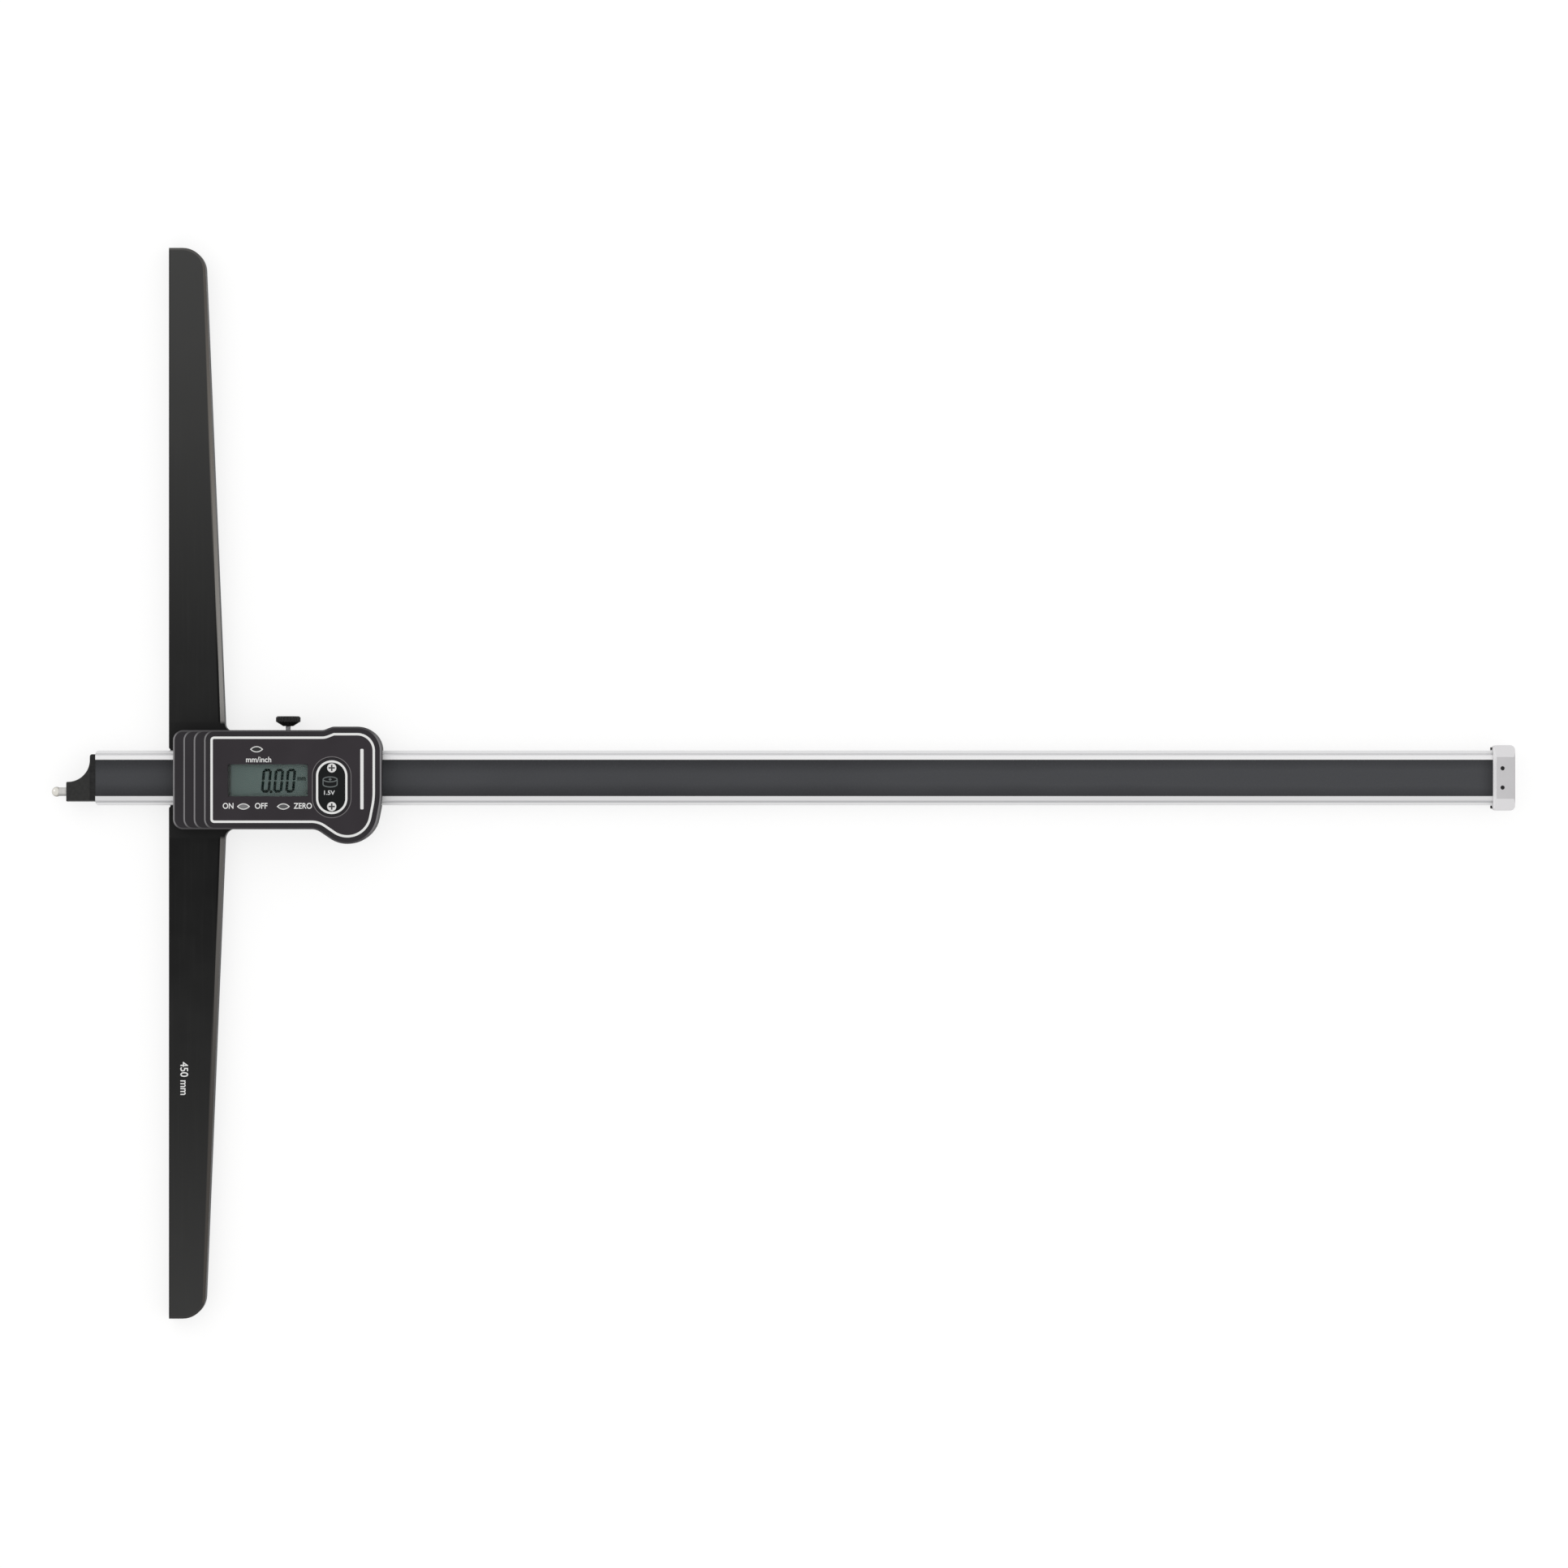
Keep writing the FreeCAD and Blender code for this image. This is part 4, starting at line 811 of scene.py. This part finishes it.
readout = {"left": (34.8, 39.35, 43.85), "width": 3.45, "bottom": -5.5, "height": 8.9, "stroke": 1.0,
           "slant": 0.087, "gap": 0.16, "rise": 0.02 * mm, "lift": 0.01 * mm, "point": (38.65, -5.15),
           "pointSize": 0.55}


def addStroke(bm, centre, length, thickness, upright):
    # a hexagon pulled apart into one stroke of a digit
    radius = thickness / math.sqrt(3)
    made = bmesh.ops.create_circle(bm, cap_ends=True, segments=6, radius=radius)["verts"]
    bmesh.ops.rotate(bm, matrix=Matrix.Rotation(math.radians(30), 3, "Z"), verts=made)
    for side in (-1, 1):
        half = [vertex for vertex in made if vertex.co.x * side > thickness * 0.1]
        bmesh.ops.translate(bm, vec=(side * (length / 2 - radius), 0.0, 0.0), verts=half)
    if upright:
        bmesh.ops.rotate(bm, matrix=Matrix.Rotation(math.pi / 2, 3, "Z"), verts=made)
    bmesh.ops.translate(bm, vec=(*centre, 0.0), verts=made)


def makeReadout():
    bm = bmesh.new()
    wide, tall, stroke = readout["width"], readout["height"], readout["stroke"]
    across = wide - stroke
    half = (tall - stroke) / 2
    for left in readout["left"]:
        middle = left + wide / 2
        for level in (0, 2):
            y = readout["bottom"] + stroke / 2 + half * level
            addStroke(bm, (middle, y), across - readout["gap"], stroke, False)
        for side in (-1, 1):
            for level in (0.5, 1.5):
                y = readout["bottom"] + stroke / 2 + half * level
                addStroke(bm, (middle + side * across / 2, y), half - readout["gap"], stroke, True)
    for vertex in bm.verts:
        vertex.co.x += (vertex.co.y - readout["bottom"]) * readout["slant"]
    dot = bmesh.ops.create_circle(bm, cap_ends=True, segments=12, radius=readout["pointSize"])["verts"]
    bmesh.ops.translate(bm, vec=(*readout["point"], 0.0), verts=dot)
    bmesh.ops.scale(bm, vec=(mm, mm, 1.0), verts=bm.verts[:])
    bmesh.ops.translate(bm, vec=(0.0, 0.0, glassTop + readout["lift"]), verts=bm.verts[:])
    bmesh.ops.recalc_face_normals(bm, faces=bm.faces[:])
    bmesh.ops.solidify(bm, geom=bm.faces[:], thickness=-readout["rise"])
    addPiece("readoutDigits", finishMesh("readoutDigits", bm), "segment", "slider")


makeReadout()
unitLabel = {"text": "mm", "height": 1.3, "centre": (50.0, -0.35), "stretch": 0.82, "weight": 0.03,
             "level": glassTop, "ink": "segment"}
label("readoutUnit", unitLabel)
print("display drawn")


windowLens = {"edge": 0.15 * mm, "lift": 0.08 * mm, "flat": 1.0}


def makeWindow():
    # the CAD window copied, merged, eased along its edges and held just clear of the digits
    bm = bmesh.new()
    bm.from_mesh(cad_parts["display_window"].data)
    bmesh.ops.remove_doubles(bm, verts=bm.verts[:], dist=weld)
    bmesh.ops.dissolve_limit(bm, angle_limit=math.radians(windowLens["flat"]), verts=bm.verts[:],
                             edges=bm.edges[:])
    low = min(vertex.co.z for vertex in bm.verts)
    for vertex in bm.verts:
        if vertex.co.z < low + weld:
            vertex.co.z += windowLens["lift"]
    top = max(vertex.co.z for vertex in bm.verts)
    rim = [edge for edge in bm.edges if all(vertex.co.z > top - weld for vertex in edge.verts)]
    bmesh.ops.bevel(bm, geom=rim, offset=windowLens["edge"], segments=2, profile=0.5, affect="EDGES",
                    material=-1)
    piece = addPiece("windowLens", finishMesh("windowLens", bm), "window", "slider")
    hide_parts("display_window")


makeWindow()


studLook = {"core": 0.86, "crest": 1.0, "pin": 0.60, "pitch": 0.4, "steps": 20, "ease": 0.2,
            "shoulder": 0.05, "rooted": 0.03, "foot": (0.0, 0.9), "top": (0.38, 0.52)}


def makeStud():
    # the clamp screw's stud with its pin, and a thread wound round it as far as the knob
    low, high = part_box("clamp_stud")
    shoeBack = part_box("clamp_shoe")[1].y / mm
    pitch, core = studLook["pitch"], studLook["core"]
    start, end = shoeBack + pitch, high.y / mm
    shoulder = shoeBack + studLook["shoulder"]
    pin, pinEnd, ease = studLook["pin"], low.y / mm, studLook["ease"] / 2
    profile = [(0.0, pinEnd), (pin - ease, pinEnd), (pin, pinEnd + ease), (pin, shoulder), (core, shoulder),
               (core, end), (0.0, end)]
    bm = bmesh.new()
    chain = [bm.verts.new((radius, y, 0.0)) for radius, y in profile]
    edges = [bm.edges.new(pair) for pair in zip(chain, chain[1:])]
    bmesh.ops.spin(bm, geom=chain + edges, cent=(0, 0, 0), axis=(0, 1, 0), angle=math.tau, steps=32,
                   use_merge=True)
    bmesh.ops.remove_doubles(bm, verts=bm.verts[:], dist=1e-5)
    # the thread's section, its foot sunk a little into the core, is wound up the stud
    turns, steps = int((end - start) / pitch) - 1, studLook["steps"]
    root, crest = core - studLook["rooted"], studLook["crest"]
    corners = zip((root, crest, crest, root), (studLook["foot"][0], *studLook["top"], studLook["foot"][1]))
    section = bm.faces.new([bm.verts.new((radius, start + pitch * share, 0.0)) for radius, share in corners])
    bmesh.ops.spin(bm, geom=[section], cent=(0, 0, 0), axis=(0, 1, 0), angle=math.tau * turns,
                   steps=steps * turns, dvec=(0.0, pitch / steps, 0.0))
    bmesh.ops.scale(bm, vec=(mm, mm, mm), verts=bm.verts[:])
    bmesh.ops.translate(bm, vec=((low.x + high.x) / 2, 0.0, (low.z + high.z) / 2), verts=bm.verts[:])
    piece = addPiece("threadedStud", finishMesh("threadedStud", bm), "stud", "clamp_screw")
    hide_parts("clamp_stud")


makeStud()
print("stud threaded")


# stage and light

stageLook = {"floor": (0.30, 0.30, 0.30), "tint": (0.305, 0.303, 0.30), "glow": 0.74, "size": 9.0,
             "centre": (0.2, 0.0), "drop": 0.2 * mm}
# each lamp's place in metres, its width and its power
lightLook = {"world": 0.80, "aim": (0.2, 0.0, 0.0),
             "lamps": [((-1.1, 1.5, 1.9), 4.4, 19.0), ((1.8, -0.9, 2.1), 3.6, 8.0)]}


def makeStage():
    bm = bmesh.new()
    bmesh.ops.create_grid(bm, x_segments=1, y_segments=1, size=stageLook["size"] / 2)
    bmesh.ops.translate(bm, vec=(*stageLook["centre"], -stageLook["drop"]), verts=bm.verts[:])
    mesh = finishMesh("floor", bm)
    finish = Finish("paleFloor")
    tone = finish.noise(3.0)
    path = finish.node("ShaderNodeLightPath", {})
    mirrored = path.part("Is Glossy Ray").largest(path.part("Is Transmission Ray"))
    seen = path.part("Is Camera Ray").largest(mirrored)
    glow = finish.mix(seen, (0.0, 0.0, 0.0), (stageLook["glow"],) * 3)
    finish.set(Base_Color=finish.mix(tone, stageLook["floor"], stageLook["tint"]), Roughness=0.9,
               Specular_IOR_Level=0.0, Emission_Color=glow, Emission_Strength=1.0)
    mesh.materials.append(finish.material)
    floor = bpy.data.objects.new("floor", mesh)
    scene.collection.objects.link(floor)


def makeLight():
    # the room lights softly, but rays that show it, mirror it or look through to it see plain white
    world = bpy.data.worlds.new("softRoom")
    world.use_nodes = True
    scene.world = world
    nodes, links = world.node_tree.nodes, world.node_tree.links
    nodes.clear()
    path = nodes.new("ShaderNodeLightPath")
    seen = path.outputs["Is Camera Ray"]
    for ray in ("Is Glossy Ray", "Is Transmission Ray"):
        larger = nodes.new("ShaderNodeMath")
        larger.operation = "MAXIMUM"
        links.new(seen, larger.inputs[0])
        links.new(path.outputs[ray], larger.inputs[1])
        seen = larger.outputs[0]
    strength = nodes.new("ShaderNodeMapRange")
    strength.inputs["To Min"].default_value = lightLook["world"]
    strength.inputs["To Max"].default_value = 1.0
    links.new(seen, strength.inputs["Value"])
    background = nodes.new("ShaderNodeBackground")
    background.inputs["Color"].default_value = (1.0, 1.0, 1.0, 1.0)
    links.new(strength.outputs["Result"], background.inputs["Strength"])
    output = nodes.new("ShaderNodeOutputWorld")
    links.new(background.outputs["Background"], output.inputs["Surface"])
    for index, (place, size, power) in enumerate(lightLook["lamps"]):
        lamp = bpy.data.lights.new("softLamp" + str(index), "AREA")
        lamp.shape = "DISK"
        lamp.size = size
        lamp.energy = power
        holder = bpy.data.objects.new("softLamp" + str(index), lamp)
        holder.location = place
        aim = Vector(lightLook["aim"]) - Vector(place)
        holder.rotation_euler = aim.to_track_quat("-Z", "Y").to_euler()
        holder.visible_glossy = False  # bright metal shows the pale surroundings and never a lamp
        scene.collection.objects.link(holder)


makeStage()
makeLight()
print("stage lit")
